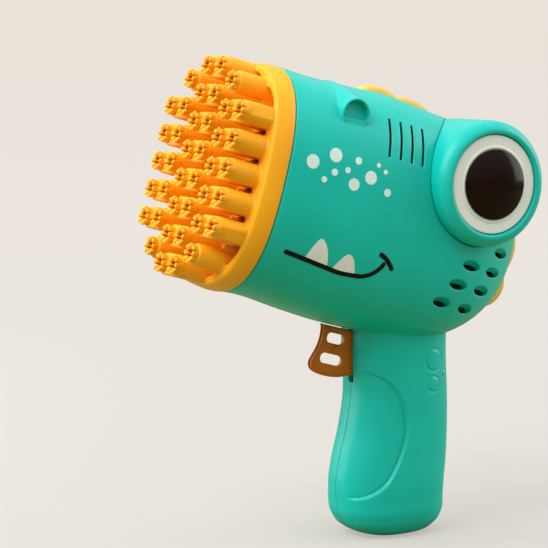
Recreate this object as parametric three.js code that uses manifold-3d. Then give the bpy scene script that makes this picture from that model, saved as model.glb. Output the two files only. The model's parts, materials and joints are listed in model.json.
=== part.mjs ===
// A toy bubble blower shaped like a friendly dinosaur's head on an upright handle.
// Millimetres, +Z up. The toy stands on the flat foot of its handle: the origin is the middle of
// that foot, the muzzle points towards -Y, and +X is the toy's left side.
// The head is tipped up, so most of it is drawn in a group of its own (the head frame): there
// y runs back along the barrel from the nozzle's tips, and z is square to the barrel.
import * as THREE from 'three';
import { mergeVertices } from 'three/addons/utils/BufferGeometryUtils.js';
import Module from 'manifold-3d';

const wasm = await Module();
wasm.setup();

// ---------------------------------------------------------------- driving dimensions

const HEAD_TILT = THREE.MathUtils.degToRad(15.5); // muzzle up from level
const TIPS_Y = -95; // middle of the nozzle's tips, in the toy's frame
const TIPS_Z = 160;

const WALL = 2.2; // shell thickness
const SEAM = 0.15; // each shell half stops this far from the middle plane
const GAP = 0.35; // play between pieces that sit in one another

const PITCH = 11.6; // spacing of the bubble tubes
const TUBE_HOLE_R = 2.3;
const CROWN_R = 3.9;
const CROWN_LENGTH = 2.8;
const FINGER_HEIGHT = 9.2; // a finger carries a pair of tubes side by side
const FINGER_END = 3.4; // from a tube's middle to the end of its finger
const RIM_FRONT_Y = 15.4;
const RIM_BACK_Y = 23.9;
// Pockets in the front between the fingers: half sizes and corner radii, then one corner's outline
const MIDDLE_POCKET = [27.3, 28, 3];
const TALL_POCKET = [17, 41.6, 9];
const CORNER_POCKET = [
  [19.6, 27], [22, 25.4], [29.6, 24.2], [30.3, 25.6], [28.9, 28.5], [26.6, 31.6], [24.2, 34], [22.2, 35.3],
  [20, 35],
];
const PEG = { r: 1, length: 3, x: [12.6, 18.4], rows: [-1.5, -0.5, 0.5, 1.5], endX: 11.8, endRow: 2.5 };
const FACE_Y = 20; // floor of the recess that the fingers stand in
const FACE_THICKNESS = 2.5;
const SKIRT = { backY: 30, halfWidth: 34.1, halfHeight: 43.3, thickness: 1.6 }; // goes inside the casing
const ROUNDNESS = 2.6; // superellipse exponent of the head and rim

const HEAD_FRONT_Y = RIM_BACK_Y + 0.4;
const REAR_START_Y = 104; // the rear of the head is half an ellipsoid from here
const REAR_LENGTH = 54;
// y, half width, top z, bottom z
const HEAD_STATIONS = [
  [HEAD_FRONT_Y, 36.7, 46.9, -46.5],
  [34.5, 37.3, 46.7, -46.0],
  [60, 38.4, 47.8, -47.9],
  [74, 38.7, 48.9, -48.8],
  [91, 38.7, 48.2, -48.9],
  [REAR_START_Y, 38.5, 47.4, -48.9],
];
const REAR_ANGLES = [20, 38, 54, 68, 79, 86]; // degrees round the ellipsoid

// z, front y, back y, half width
const HANDLE_STATIONS = [
  [0, -10, 13, 9],
  [1.2, -14.5, 16, 12.5],
  [4, -20.2, 20.4, 15.6],
  [9, -24.2, 23.5, 17.8],
  [16, -25.6, 24, 18.4],
  [24, -25.8, 24.5, 18.8],
  [32, -24.5, 25.2, 18.8],
  [46, -20.9, 25.5, 18.8],
  [60, -18.6, 25.2, 18.8],
  [76, -18.8, 24.4, 18.8],
];
const HANDLE_TOP_Z = 92;
const HANDLE_ROUNDNESS = 2.6;
const BASE_TAB = { halfWidth: 4, front: -9, back: 13 }; // keeps the two halves level at the foot

const SLOT = { firstY: 68.2, pitch: 5.45, count: 4, lowZ: 21.2, highZ: 36.8, width: 1.2 };
const AIR_HOLES = [ // y, z, length, height
  [137.3, -3.6, 10, 4.2],
  [134.7, -12.3, 10, 4.2],
  [131.1, -20.9, 10.2, 4.2],
  [126.1, -29.7, 9, 4.2],
  [119.8, -12.2, 10, 4.2],
  [115.9, -21, 10, 4.2],
  [111.3, -29.6, 9.2, 4.2],
];
const NOSTRIL = {
  y: 51, z: 34.1, r: 6.7, rootR: 9.9, rootX: 22, faceX: 33, hollowR: 5.75, floorX: 31, sillZ: 32.2,
};

const EYE = { y: 115, z: 21.8, podR: 26, podRootX: 16, whiteR: 20.2, pupilR: 14.4 };

const CREST_HALF_WIDTH = 4.5;

const TRIGGER = { halfWidth: 1.5, topZ: -49.3, flangeHalf: 6, flangeY: 99.6, backY: 101.6 };
const TRIGGER_WINDOWS = [[86.1, -54.2, 8.6], [86.2, -63, 10.8]]; // y, z, length
const TRIGGER_WINDOW_HEIGHT = 4.3;
const TRIGGER_OPENING = { frontY: 84, backY: 101.4, lowZ: -70.4, highZ: -49.05, play: 0.4 };
const SWITCH = { z: -54, frontY: 112.4, length: 17, width: 12, plungerR: 2 };

const CELL = { r: 7.1, length: 49.2, nubR: 2.7, nubLength: 1.2 }; // AA size
const CELL_SPACING = 14.4;
const TRAY = {
  y: 2.8, halfDepth: 15.5, floorX: 15.4, mouthX: -15, lowZ: 9, highZ: 66.4, wall: 1.1, corner: 7.2,
};
const DOOR = { front: -13, back: 18.6, lowZ: 7.8, highZ: 74, corner: 4 };
const DOOR_SCREW = { y: TRAY.y, z: 70 };

const FAN = { frontY: 61.6, backY: 84, r: 25, wall: 1.8, bladeR: 24.2, hubR: 8, blades: 7 };
const BULKHEAD = { halfWidth: 35.6, halfHeight: 45.1, thickness: 2 };
const MOTOR = { r: 12, frontY: 86.5, length: 27, shaftR: 1 };

// Shell screws: [y, z] in the head frame, then [y, z] in the toy's frame for the handle
const HEAD_SCREWS = [[52, -38.5], [40, 39.5], [139.5, -27.5]];
const HANDLE_SCREWS = [[-18.4, 26], [21.3, 17], [20.4, 80]];
const SCREW = { headR: 2.3, headLength: 1.8, shankR: 1.2, headX: -6, tipX: 8 };
const BOSS_R = 2.9;

// ---------------------------------------------------------------- colours

const TEAL = 0x19b49f;
const TEAL_DARK = 0x0f9f8a;
const YELLOW = 0xf7b926;
const CREST_YELLOW = 0xeec84a;
const AMBER = 0x9c590a;
const RED = 0xb03024;
const BLACK = 0x101012;
const WHITE = 0xe6e9e4;
const STEEL = 0xb5b8bb;
const BRASS = 0xc9a557;

// ---------------------------------------------------------------- solids and meshes

// A closed three.js geometry as a solid that can be joined and cut.
function toSolid(geometry, matrix = new THREE.Matrix4()) {
  const bare = geometry.clone();
  bare.deleteAttribute('normal');
  bare.deleteAttribute('uv');
  bare.applyMatrix4(matrix);
  const merged = mergeVertices(bare, 1e-4);
  const index = merged.index.array;
  const triangles = [];
  for (let i = 0; i < index.length; i += 3) {
    const [a, b, c] = [index[i], index[i + 1], index[i + 2]];
    if (a !== b && b !== c && c !== a) triangles.push(a, b, c);
  }
  return new wasm.Manifold(new wasm.Mesh({
    numProp: 3,
    vertProperties: new Float32Array(merged.attributes.position.array),
    triVerts: new Uint32Array(triangles),
  }));
}

function toGeometry(solid) {
  const mesh = solid.getMesh();
  const geometry = new THREE.BufferGeometry();
  geometry.setAttribute('position', new THREE.BufferAttribute(new Float32Array(mesh.vertProperties), 3));
  geometry.setIndex(new THREE.BufferAttribute(new Uint32Array(mesh.triVerts), 1));
  geometry.computeVertexNormals();
  return geometry;
}

const join = (...solids) => solids.reduce((whole, next) => whole.add(next));
const cut = (solid, ...tools) => tools.reduce((left, tool) => left.subtract(tool), solid);

function place(name, shape, colour, roughness = 0.4, metalness = 0) {
  const geometry = shape.isBufferGeometry ? shape : toGeometry(shape);
  const material = new THREE.MeshStandardMaterial({ color: colour, roughness, metalness });
  const mesh = new THREE.Mesh(geometry, material);
  mesh.name = name;
  return mesh;
}

// ---------------------------------------------------------------- shape helpers

const at = (x, y, z) => new THREE.Matrix4().makeTranslation(x, y, z);
const headMatrix = at(0, TIPS_Y, TIPS_Z).multiply(new THREE.Matrix4().makeRotationX(-HEAD_TILT));
const MIRROR_X = new THREE.Matrix4().makeScale(-1, 1, 1);

// Shape (u, v) extruded by w: side views have u = y, v = z, w = x; front views have u = x, v = z.
const SIDE_VIEW = new THREE.Matrix4().makeBasis(
  new THREE.Vector3(0, 1, 0), new THREE.Vector3(0, 0, 1), new THREE.Vector3(1, 0, 0));
const FRONT_VIEW = new THREE.Matrix4().makeBasis(
  new THREE.Vector3(1, 0, 0), new THREE.Vector3(0, 0, 1), new THREE.Vector3(0, -1, 0));

function box(x0, x1, y0, y1, z0, z1) {
  const geometry = new THREE.BoxGeometry(x1 - x0, y1 - y0, z1 - z0);
  return geometry.translate((x0 + x1) / 2, (y0 + y1) / 2, (z0 + z1) / 2);
}

function extrude(shape, depth, curveSegments = 6) {
  return new THREE.ExtrudeGeometry(shape, { depth, bevelEnabled: false, steps: 1, curveSegments });
}

// A side-view outline as a slab from x0 to x1.
function slab(shape, x0, x1, curveSegments) {
  return extrude(shape, x1 - x0, curveSegments).translate(0, 0, x0).applyMatrix4(SIDE_VIEW);
}

// A round bar along x, from x0 to x1, centred on (y, z); r1 is its radius at x1.
function barX(r0, x0, x1, y, z, segments = 12, r1 = r0) {
  const geometry = new THREE.CylinderGeometry(r1, r0, x1 - x0, segments);
  return geometry.rotateZ(-Math.PI / 2).translate((x0 + x1) / 2, y, z);
}

// A round bar along y.
function barY(r, y0, y1, x = 0, z = 0, segments = 16) {
  return new THREE.CylinderGeometry(r, r, y1 - y0, segments).translate(x, (y0 + y1) / 2, z);
}

// A round bar along z.
function barZ(r, z0, z1, x = 0, y = 0, segments = 16) {
  const geometry = new THREE.CylinderGeometry(r, r, z1 - z0, segments).rotateX(Math.PI / 2);
  return geometry.translate(x, y, (z0 + z1) / 2);
}

// A turned piece about the x axis of (y, z): profile points are [x, r].
function turnedX(profile, y, z, segments = 22) {
  const points = profile.map(([x, r]) => new THREE.Vector2(r, x));
  return new THREE.LatheGeometry(points, segments).rotateZ(-Math.PI / 2).translate(0, y, z);
}

function stadium(u0, u1, v, height) {
  const r = height / 2;
  const shape = new THREE.Shape();
  shape.moveTo(u0 + r, v - r);
  shape.lineTo(u1 - r, v - r);
  shape.absarc(u1 - r, v, r, -Math.PI / 2, Math.PI / 2, false);
  shape.lineTo(u0 + r, v + r);
  shape.absarc(u0 + r, v, r, Math.PI / 2, 1.5 * Math.PI, false);
  return shape;
}

function ellipse(u, v, length, height) {
  return new THREE.Shape().absellipse(u, v, length / 2, height / 2, 0, 2 * Math.PI, false);
}

// One point of a superellipse with half sizes a, b.
function superPoint(angle, a, b, roundness) {
  const c = Math.cos(angle);
  const s = Math.sin(angle);
  const power = 2 / roundness;
  return [Math.sign(c) * a * Math.abs(c) ** power, Math.sign(s) * b * Math.abs(s) ** power];
}

// Closed skin over rings of equal length, capped at both ends by a fan to the ring's middle.
function loft(rings) {
  const count = rings[0].length;
  const positions = rings.flat().flatMap((p) => [p.x, p.y, p.z]);
  const index = [];
  for (let r = 0; r + 1 < rings.length; r += 1) {
    for (let i = 0; i < count; i += 1) {
      const j = (i + 1) % count;
      const [a, b, c, d] = [r * count + i, r * count + j, (r + 1) * count + j, (r + 1) * count + i];
      index.push(a, b, c, a, c, d);
    }
  }
  for (const [ring, start, turn] of [[rings[0], 0, 1], [rings.at(-1), (rings.length - 1) * count, 0]]) {
    const middle = ring.reduce((sum, p) => sum.add(p), new THREE.Vector3()).divideScalar(count);
    const hub = positions.length / 3;
    positions.push(middle.x, middle.y, middle.z);
    for (let i = 0; i < count; i += 1) {
      const j = (i + 1) % count;
      if (turn) index.push(hub, start + j, start + i);
      else index.push(hub, start + i, start + j);
    }
  }
  const geometry = new THREE.BufferGeometry();
  geometry.setAttribute('position', new THREE.Float32BufferAttribute(positions, 3));
  geometry.setIndex(index);
  return geometry;
}

// A ring square to the barrel at y.
function headRing(y, halfWidth, top, bottom, segments = 32, roundness = ROUNDNESS) {
  const middle = (top + bottom) / 2;
  const ring = [];
  for (let i = 0; i < segments; i += 1) {
    const [x, z] = superPoint(-2 * Math.PI * i / segments, halfWidth, (top - bottom) / 2, roundness);
    ring.push(new THREE.Vector3(x, y, middle + z));
  }
  return ring;
}

// A straight or tapered superellipse plug along the barrel: stations are [y, half width, half height].
function plug(stations, segments = 32) {
  return loft(stations.map(([y, a, b]) => headRing(y, a, b, -b, segments)));
}

// Solid head, shrunk by inset all round; frontY is where its front face lies.
function headSolid(inset, frontY = HEAD_FRONT_Y, matrix = headMatrix) {
  const rings = HEAD_STATIONS.map(([y, a, top, bottom], i) => (
    headRing(i ? y : frontY, a - inset, top - inset, bottom + inset)));
  const [, a, top, bottom] = HEAD_STATIONS.at(-1);
  for (const angle of REAR_ANGLES) {
    const turn = THREE.MathUtils.degToRad(angle);
    const shrink = Math.cos(turn);
    const y = REAR_START_Y + (REAR_LENGTH - inset) * Math.sin(turn);
    rings.push(headRing(y, (a - inset) * shrink, (top - inset) * shrink, (bottom + inset) * shrink));
  }
  return toSolid(loft(rings), matrix);
}

function handleRing(z, front, back, halfWidth) {
  const segments = 20;
  const middle = (front + back) / 2;
  const ring = [];
  for (let i = 0; i < segments; i += 1) {
    const angle = 2 * Math.PI * i / segments;
    const [x, y] = superPoint(angle, halfWidth, (back - front) / 2, HANDLE_ROUNDNESS);
    ring.push(new THREE.Vector3(x, middle + y, z));
  }
  return ring;
}

function handleSolid(inset) {
  const stations = [...HANDLE_STATIONS, [HANDLE_TOP_Z, ...HANDLE_STATIONS.at(-1).slice(1)]];
  const kept = inset ? stations.filter(([z]) => z > inset) : stations;
  const rings = kept.map(([z, front, back, halfWidth], i) => (
    handleRing(inset && !i ? inset + 0.6 : z, front + inset, back - inset, halfWidth - inset)));
  return toSolid(loft(rings));
}

// ---------------------------------------------------------------- casing halves

// Side-view outline of the two bumps on top of the head.
function crestTopShape(grow = 0) {
  const shape = new THREE.Shape();
  shape.moveTo(69 - grow, 44);
  shape.lineTo(69 - grow, 49);
  shape.quadraticCurveTo(71.5, 52.3 + grow, 78, 52.3 + grow);
  shape.quadraticCurveTo(84, 52.1 + grow, 86.3, 50 + grow);
  shape.quadraticCurveTo(89, 51.3 + grow, 94, 51.1 + grow);
  shape.quadraticCurveTo(101, 50.6 + grow, 103.5 + grow, 48.4);
  shape.lineTo(103.5 + grow, 44);
  return shape;
}

function crestRearShape(grow = 0) {
  const shape = new THREE.Shape();
  shape.moveTo(146, 27.5 + grow);
  shape.lineTo(153, 27.5 + grow);
  shape.quadraticCurveTo(163.4 + grow, 21, 161.2 + grow, 9.5);
  shape.quadraticCurveTo(165.9 + grow, 6, 165 + grow, -1);
  shape.quadraticCurveTo(164.6 + grow, -6.5, 161.6 + grow, -9);
  shape.quadraticCurveTo(164.8 + grow, -14, 163.2 + grow, -18.5);
  shape.quadraticCurveTo(161.4 + grow, -24, 154.5, -26.5 - grow);
  shape.lineTo(146, -26.5 - grow);
  return shape;
}

// Both crests, as slabs wider than the real ones, are cut from the halves to seat them.
function crestSeats() {
  const half = CREST_HALF_WIDTH + GAP;
  return [crestTopShape(GAP), crestRearShape(GAP)]
    .map((shape) => toSolid(slab(shape, -half, half, 4), headMatrix));
}

function ventSlots() {
  const slots = [];
  for (let i = 0; i < SLOT.count; i += 1) {
    const y = SLOT.firstY + i * SLOT.pitch;
    const shape = new THREE.Shape();
    const r = SLOT.width / 2;
    shape.absarc(y, SLOT.highZ - r, r, 0, Math.PI, false);
    shape.absarc(y, SLOT.lowZ + r, r, Math.PI, 2 * Math.PI, false);
    slots.push(toSolid(slab(shape, -50, 50, 2), headMatrix));
  }
  return slots;
}

function airHoles() {
  return AIR_HOLES.map(([y, z, length, height]) => (
    toSolid(slab(ellipse(y, z, length, height), -50, 50, 5), headMatrix)));
}

// One side of the face: +1 is the left.
function nostril(side) {
  const { y, z, r, rootR, rootX, faceX, hollowR, floorX, sillZ } = NOSTRIL;
  const turn = side > 0 ? headMatrix : headMatrix.clone().multiply(MIRROR_X);
  const stub = barX(rootR, rootX, faceX, y, z, 20, r);
  const mouth = new THREE.Shape();
  mouth.absarc(y, z, hollowR, 0, Math.PI, false);
  mouth.lineTo(y - hollowR, sillZ);
  mouth.lineTo(y + hollowR, sillZ);
  const recess = slab(mouth, floorX, faceX + 9, 12);
  return [stub, recess].map((geometry) => sided(geometry, turn));
}

// Mirrored geometry needs its faces turned the other way round.
function sided(geometry, matrix) {
  const placed = geometry.clone().applyMatrix4(matrix);
  if (matrix.determinant() < 0) {
    const flipped = placed.index ? placed.toNonIndexed() : placed;
    const p = flipped.attributes.position;
    for (let i = 0; i < p.count; i += 3) {
      const [x, y, z] = [p.getX(i + 1), p.getY(i + 1), p.getZ(i + 1)];
      p.setXYZ(i + 1, p.getX(i + 2), p.getY(i + 2), p.getZ(i + 2));
      p.setXYZ(i + 2, x, y, z);
    }
    return toSolid(flipped);
  }
  return toSolid(placed);
}

function eyeOpenings() {
  const r = EYE.podR + GAP;
  const left = toSolid(barX(r, EYE.podRootX - 0.5, 60, EYE.y, EYE.z, 32), headMatrix);
  const right = toSolid(barX(r, -60, -EYE.podRootX + 0.5, EYE.y, EYE.z, 32), headMatrix);
  return [left, right];
}

function triggerOpening() {
  const { frontY, backY, lowZ, highZ, play } = TRIGGER_OPENING;
  const half = TRIGGER.halfWidth + play;
  return toSolid(box(-half, half, frontY, backY, lowZ, highZ), headMatrix);
}

function screwSites() {
  const inHead = HEAD_SCREWS.map(([y, z]) => new THREE.Vector3(0, y, z).applyMatrix4(headMatrix));
  return [...inHead, ...HANDLE_SCREWS.map(([y, z]) => new THREE.Vector3(0, y, z))];
}

// The whole casing in one piece, before it is split down the middle.
function casing() {
  const [leftStub, leftHollow] = nostril(1);
  const [rightStub, rightHollow] = nostril(-1);
  const outer = join(headSolid(0), handleSolid(0), leftStub, rightStub);
  const inner = join(headSolid(WALL, HEAD_FRONT_Y - 4), handleSolid(WALL));
  const posts = screwSites().map((p) => toSolid(barX(BOSS_R, -45, 45, p.y, p.z, 8)));
  const skin = cut(outer, inner);
  const bossed = join(skin, ...posts.map((post) => post.intersect(outer)));
  return cut(bossed, leftHollow, rightHollow, ...ventSlots(), ...airHoles(), ...eyeOpenings(),
    ...crestSeats(), triggerOpening(), trayRoom());
}

function roundedBox(u0, u1, v0, v1, corner) {
  const shape = new THREE.Shape();
  shape.absarc(u1 - corner, v0 + corner, corner, -Math.PI / 2, 0, false);
  shape.absarc(u1 - corner, v1 - corner, corner, 0, Math.PI / 2, false);
  shape.absarc(u0 + corner, v1 - corner, corner, Math.PI / 2, Math.PI, false);
  shape.absarc(u0 + corner, v0 + corner, corner, Math.PI, 1.5 * Math.PI, false);
  return shape;
}

function doorRegion(grow) {
  const { front, back, lowZ, highZ, corner } = DOOR;
  const shape = roundedBox(front - grow, back + grow, lowZ - grow, highZ + grow, corner + grow);
  return toSolid(slab(shape, -40, -10, 3));
}

// Where the casing's curved corners are thinned to let the battery tray in.
function trayRoom() {
  const { mouthX, lowZ, highZ } = TRAY;
  return join(upright(trayOutline(GAP, mouthX + 4 - GAP), lowZ - GAP, highZ + GAP), trayLip(GAP));
}

function baseTab(grow) {
  const { halfWidth, front, back } = BASE_TAB;
  const top = WALL + grow;
  const bottom = grow ? -1 : 0;
  return toSolid(box(-halfWidth - grow, SEAM + 1 + grow, front - grow, back + grow, bottom, top));
}

function leftShell(whole) {
  const half = cut(whole, toSolid(box(-60, SEAM, -100, 100, -10, 260)));
  const holes = screwSites().map((p) => (
    toSolid(barX(SCREW.shankR + 0.25, -1, SCREW.tipX + 1, p.y, p.z, 8))));
  return cut(join(half, baseTab(0)), ...holes);
}

function rightShell(whole) {
  const half = cut(whole, toSolid(box(-SEAM, 60, -100, 100, -10, 260)));
  const holes = screwSites().flatMap((p) => [
    toSolid(barX(SCREW.shankR + 0.25, -60, 1, p.y, p.z, 8)),
    toSolid(barX(SCREW.headR + 0.35, -60, SCREW.headX, p.y, p.z, 10)),
  ]);
  return cut(half, baseTab(GAP), doorRegion(GAP), ...holes);
}

function shellScrew({ y, z }) {
  const { headR, headLength, shankR, headX, tipX } = SCREW;
  return join(toSolid(barX(headR, headX - headLength, headX - 0.1, y, z, 8)),
    toSolid(barX(shankR, headX - 0.5, tipX, y, z, 6)));
}

// ---------------------------------------------------------------- battery door

function batteryDoor() {
  const skin = cut(handleSolid(0), handleSolid(WALL));
  const panel = skin.intersect(doorRegion(0));
  return cut(panel, trayRoom(), toSolid(barX(1.45, -40, 0, DOOR_SCREW.y, DOOR_SCREW.z)),
    toSolid(barX(2.6, -40, -18, DOOR_SCREW.y, DOOR_SCREW.z)));
}

function doorScrew() {
  const { y, z } = DOOR_SCREW;
  return join(toSolid(barX(2.2, -19.2, -18.2, y, z)), toSolid(barX(1.1, -18.5, -10, y, z, 8)));
}

// ---------------------------------------------------------------- nozzle

// [column in pitches, rows in pitches] for the three pairs of columns
const TUBE_COLUMNS = [
  [0.5, [-3.5, -2.5, -1.5, -0.5, 0.5, 1.5, 2.5, 3.5]],
  [1.5, [-3, -2, -1, 0, 1, 2, 3]],
  [2.5, [-2, -1, 0, 1, 2]],
];

function tubeCentres() {
  return TUBE_COLUMNS.flatMap(([column, rows]) => rows.flatMap((row) => (
    [-1, 1].map((side) => [side * column * PITCH, row * PITCH]))));
}

// Fingers: middle pairs, side pairs, and four single tubes at the ends of the second columns.
function fingerOutlines() {
  const pair = (middle, row) => {
    const reach = 0.5 * PITCH + FINGER_END;
    return stadium(middle - reach, middle + reach, row * PITCH, FINGER_HEIGHT);
  };
  const outlines = TUBE_COLUMNS[0][1].map((row) => pair(0, row));
  for (const side of [-1, 1]) {
    outlines.push(...TUBE_COLUMNS[2][1].map((row) => pair(side * 2 * PITCH, row)));
    for (const row of [-3, 3]) {
      outlines.push(ellipse(side * 1.5 * PITCH, row * PITCH, FINGER_HEIGHT, FINGER_HEIGHT));
    }
  }
  return outlines;
}

// A solid standing along y from the given depth forwards, drawn as seen from the front.
function fromFront(outline, length, backY, segments = 2) {
  return toSolid(extrude(outline, length, segments).applyMatrix4(FRONT_VIEW).translate(0, backY, 0));
}

function pockets() {
  const depth = FACE_Y - RIM_FRONT_Y + 1;
  const boxes = [MIDDLE_POCKET, TALL_POCKET].map(([x, z, corner]) => (
    fromFront(roundedBox(-x, x, -z, z, corner), depth, FACE_Y, 4)));
  const corners = [[1, 1], [1, -1], [-1, 1], [-1, -1]].map(([sx, sz]) => (
    fromFront(new THREE.Shape(CORNER_POCKET.map(([x, z]) => new THREE.Vector2(sx * x, sz * z))),
      depth, FACE_Y)));
  return [...boxes, ...corners];
}

// Small round pegs on the floor between the rows of fingers.
function pegs() {
  const sites = PEG.rows.flatMap((row) => PEG.x.map((x) => [x, row]));
  sites.push([PEG.endX, -PEG.endRow], [PEG.endX, PEG.endRow]);
  return sites.flatMap(([x, row]) => [-x, x].map((place) => (
    toSolid(barY(PEG.r, FACE_Y - PEG.length, FACE_Y + 0.5, place, row * PITCH, 8)))));
}

function nozzle() {
  const { backY, halfWidth, halfHeight, thickness } = SKIRT;
  const rim = join(
    toSolid(plug([[RIM_FRONT_Y, 34.2, 44.8], [RIM_FRONT_Y + 0.9, 35.1, 45.7], [RIM_BACK_Y, 36.7, 46.9]])),
    toSolid(plug([[RIM_BACK_Y - 1, halfWidth, halfHeight], [backY, halfWidth, halfHeight]])));
  const bowl = [FACE_Y + FACE_THICKNESS, backY + 1].map((y) => (
    [y, halfWidth - thickness, halfHeight - thickness]));
  const plate = join(cut(rim, ...pockets(), toSolid(plug(bowl))), ...pegs());
  const fingers = join(...fingerOutlines().map((outline) => (
    fromFront(outline, FACE_Y - CROWN_LENGTH + 0.5, FACE_Y + 0.5))));
  const limit = toSolid(plug([[0, 34.4, 45], [FACE_Y + 1, 34.4, 45]]));
  const crowns = tubeCentres().map(([x, z]) => toSolid(barY(CROWN_R, 0, CROWN_LENGTH + 0.5, x, z, 8)));
  const holes = tubeCentres().map(([x, z]) => (
    toSolid(barY(TUBE_HOLE_R, -1, FACE_Y + FACE_THICKNESS + 1, x, z, 6))));
  return cut(join(plate, fingers.intersect(limit), ...crowns), ...holes);
}

function nozzleSeal() {
  return cut(toSolid(plug([[25, 32.1, 41.3], [29, 32.1, 41.3]])),
    toSolid(plug([[24, 30.7, 39.9], [30, 30.7, 39.9]])));
}

// ---------------------------------------------------------------- air path

function airDuct() {
  const funnel = (inset, over) => toSolid(loft([
    headRing(25.4 - over, 30.4 - inset, 39.6 - inset, -39.6 + inset, 28),
    headRing(33, 29.6 - inset, 38.4 - inset, -38.4 + inset, 28),
    headRing(61 + over, 26.6 - inset, 26.6 - inset, -26.6 + inset, 28, 2),
  ]));
  return cut(funnel(0, 0), funnel(1.5, 1));
}

function fanHousing() {
  const { frontY, backY, r, wall } = FAN;
  const { halfWidth, halfHeight, thickness } = BULKHEAD;
  const bulkhead = toSolid(plug([frontY, frontY + thickness].map((y) => [y, halfWidth, halfHeight]), 28));
  const tube = cut(join(bulkhead, toSolid(barY(r + wall, frontY, backY, 0, 0, 28))),
    toSolid(barY(r, frontY - 1, backY + 1, 0, 0, 28)));
  const plateY = MOTOR.frontY - 1.9;
  const cup = cut(toSolid(barY(MOTOR.r + 2.2, plateY - 0.5, plateY + 9, 0, 0, 20)),
    toSolid(barY(MOTOR.r + GAP, MOTOR.frontY - 0.3, plateY + 10, 0, 0, 20)));
  const arms = [0, 90, 180, 270].map((angle) => {
    const arm = box(MOTOR.r, r + 1, backY - 4, plateY + 3, -2, 2);
    return toSolid(arm.rotateY(THREE.MathUtils.degToRad(angle + 45)));
  });
  const holes = [-6, 6].map((x) => toSolid(barY(1.15, plateY - 2, MOTOR.frontY + 1, x, 0, 8)));
  return cut(join(tube, cup, ...arms), toSolid(barY(3, plateY - 2, MOTOR.frontY + 1, 0, 0, 12)), ...holes);
}

function impeller() {
  const { bladeR, hubR, blades } = FAN;
  const [front, back] = [68, 78];
  const hub = cut(toSolid(barY(hubR, front, back, 0, 0, 14)),
    toSolid(barY(hubR - 1.6, front + 4, back + 1, 0, 0, 14)));
  const collar = toSolid(barY(2.6, front + 1, back - 1, 0, 0, 10));
  const bore = toSolid(barY(MOTOR.shaftR + 0.1, front + 2, back + 1, 0, 0, 12));
  const vanes = [];
  for (let i = 0; i < blades; i += 1) {
    const vane = new THREE.BoxGeometry(bladeR - hubR + 1, 11, 1.2);
    vane.rotateX(THREE.MathUtils.degToRad(38));
    vane.translate((bladeR + hubR - 1) / 2, (front + back) / 2, 0);
    vanes.push(toSolid(vane.rotateY(2 * Math.PI * i / blades)));
  }
  const disc = toSolid(barY(bladeR, front - 2, back + 2, 0, 0, 36));
  const middle = toSolid(barY(hubR - 1, front - 3, back + 3));
  return cut(join(cut(join(...vanes).intersect(disc), middle), hub, collar), bore);
}

function motor() {
  const { r, frontY, length, shaftR } = MOTOR;
  const backY = frontY + length;
  const tabs = [-5, 5].map((x) => toSolid(box(x - 1, x + 1, backY - 1, backY + 3, -0.4, 0.4)));
  const holes = [-6, 6].map((x) => toSolid(barY(1.05, frontY - 1, frontY + 4, x, 0, 8)));
  const can = join(toSolid(barY(r, frontY, backY, 0, 0, 24)),
    toSolid(barY(3.5, backY - 1, backY + 1.6)), ...tabs);
  return cut(can, toSolid(barY(shaftR + 0.15, frontY - 1, frontY + 9, 0, 0, 12)), ...holes);
}

function motorScrew(x) {
  const plateY = MOTOR.frontY - 2.4;
  return join(toSolid(barY(2, plateY - 1.2, plateY - 0.1, x, 0, 12)),
    toSolid(barY(0.9, plateY - 0.5, MOTOR.frontY + 3.5, x, 0, 8)));
}

// ---------------------------------------------------------------- eyes

const eyePod = () => turnedX([
  [EYE.podRootX, 24], [EYE.podRootX, 26], [40.6, 26], [43.4, 25.2], [45.3, 23.8], [46.2, 22.3],
  [46.1, 21.2], [45.4, 20.6], [43.7, 20.6], [43.7, 0], [42, 0], [42, 22.3], [40, 24], [EYE.podRootX, 24],
], EYE.y, EYE.z);

const eyeWhite = () => turnedX([
  [44, 0], [44, EYE.whiteR], [44.7, EYE.whiteR], [45.1, EYE.whiteR - 0.5], [45.1, 0],
], EYE.y, EYE.z);

const pupil = () => turnedX([
  [45.3, 0], [45.3, EYE.pupilR], [45.9, EYE.pupilR - 0.1], [46.8, 11.8], [47.6, 7.5], [48, 0],
], EYE.y, EYE.z, 20);

// ---------------------------------------------------------------- crest

// The part of a crest outside the casing, plus a root that reaches just through the wall.
function crest(shape) {
  return cut(toSolid(slab(shape, -CREST_HALF_WIDTH, CREST_HALF_WIDTH, 4)),
    headSolid(WALL + 1.2, HEAD_FRONT_Y, new THREE.Matrix4()));
}

// ---------------------------------------------------------------- trigger and switch

function triggerOutline() {
  const shape = new THREE.Shape();
  shape.moveTo(78.2, TRIGGER.topZ);
  shape.quadraticCurveTo(80.4, -56, 77.6, -62);
  shape.quadraticCurveTo(74, -69.4, 81, -70);
  shape.quadraticCurveTo(87, -70.8, 97.4, -67.7);
  shape.lineTo(100, -65);
  shape.lineTo(100, TRIGGER.topZ);
  return shape;
}

function trigger() {
  const { halfWidth, flangeHalf, flangeY, backY } = TRIGGER;
  const blade = toSolid(slab(triggerOutline(), -halfWidth, halfWidth, 5));
  const flange = toSolid(box(-flangeHalf, flangeHalf, flangeY, backY, -62, -50));
  const windows = TRIGGER_WINDOWS.map(([y, z, length]) => (
    toSolid(slab(stadium(y - length / 2, y + length / 2, z, TRIGGER_WINDOW_HEIGHT), -20, 20, 4))));
  return cut(join(blade, flange), ...windows);
}

function coil(radius, wire, from, to, turns, perTurn, sides) {
  const points = [];
  const count = turns * perTurn;
  for (let i = 0; i <= count; i += 1) {
    const angle = 2 * Math.PI * i / perTurn;
    const along = from + (to - from) * i / count;
    points.push(new THREE.Vector3(radius * Math.cos(angle), along, radius * Math.sin(angle)));
  }
  return tube(points, wire, count, sides);
}

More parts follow.
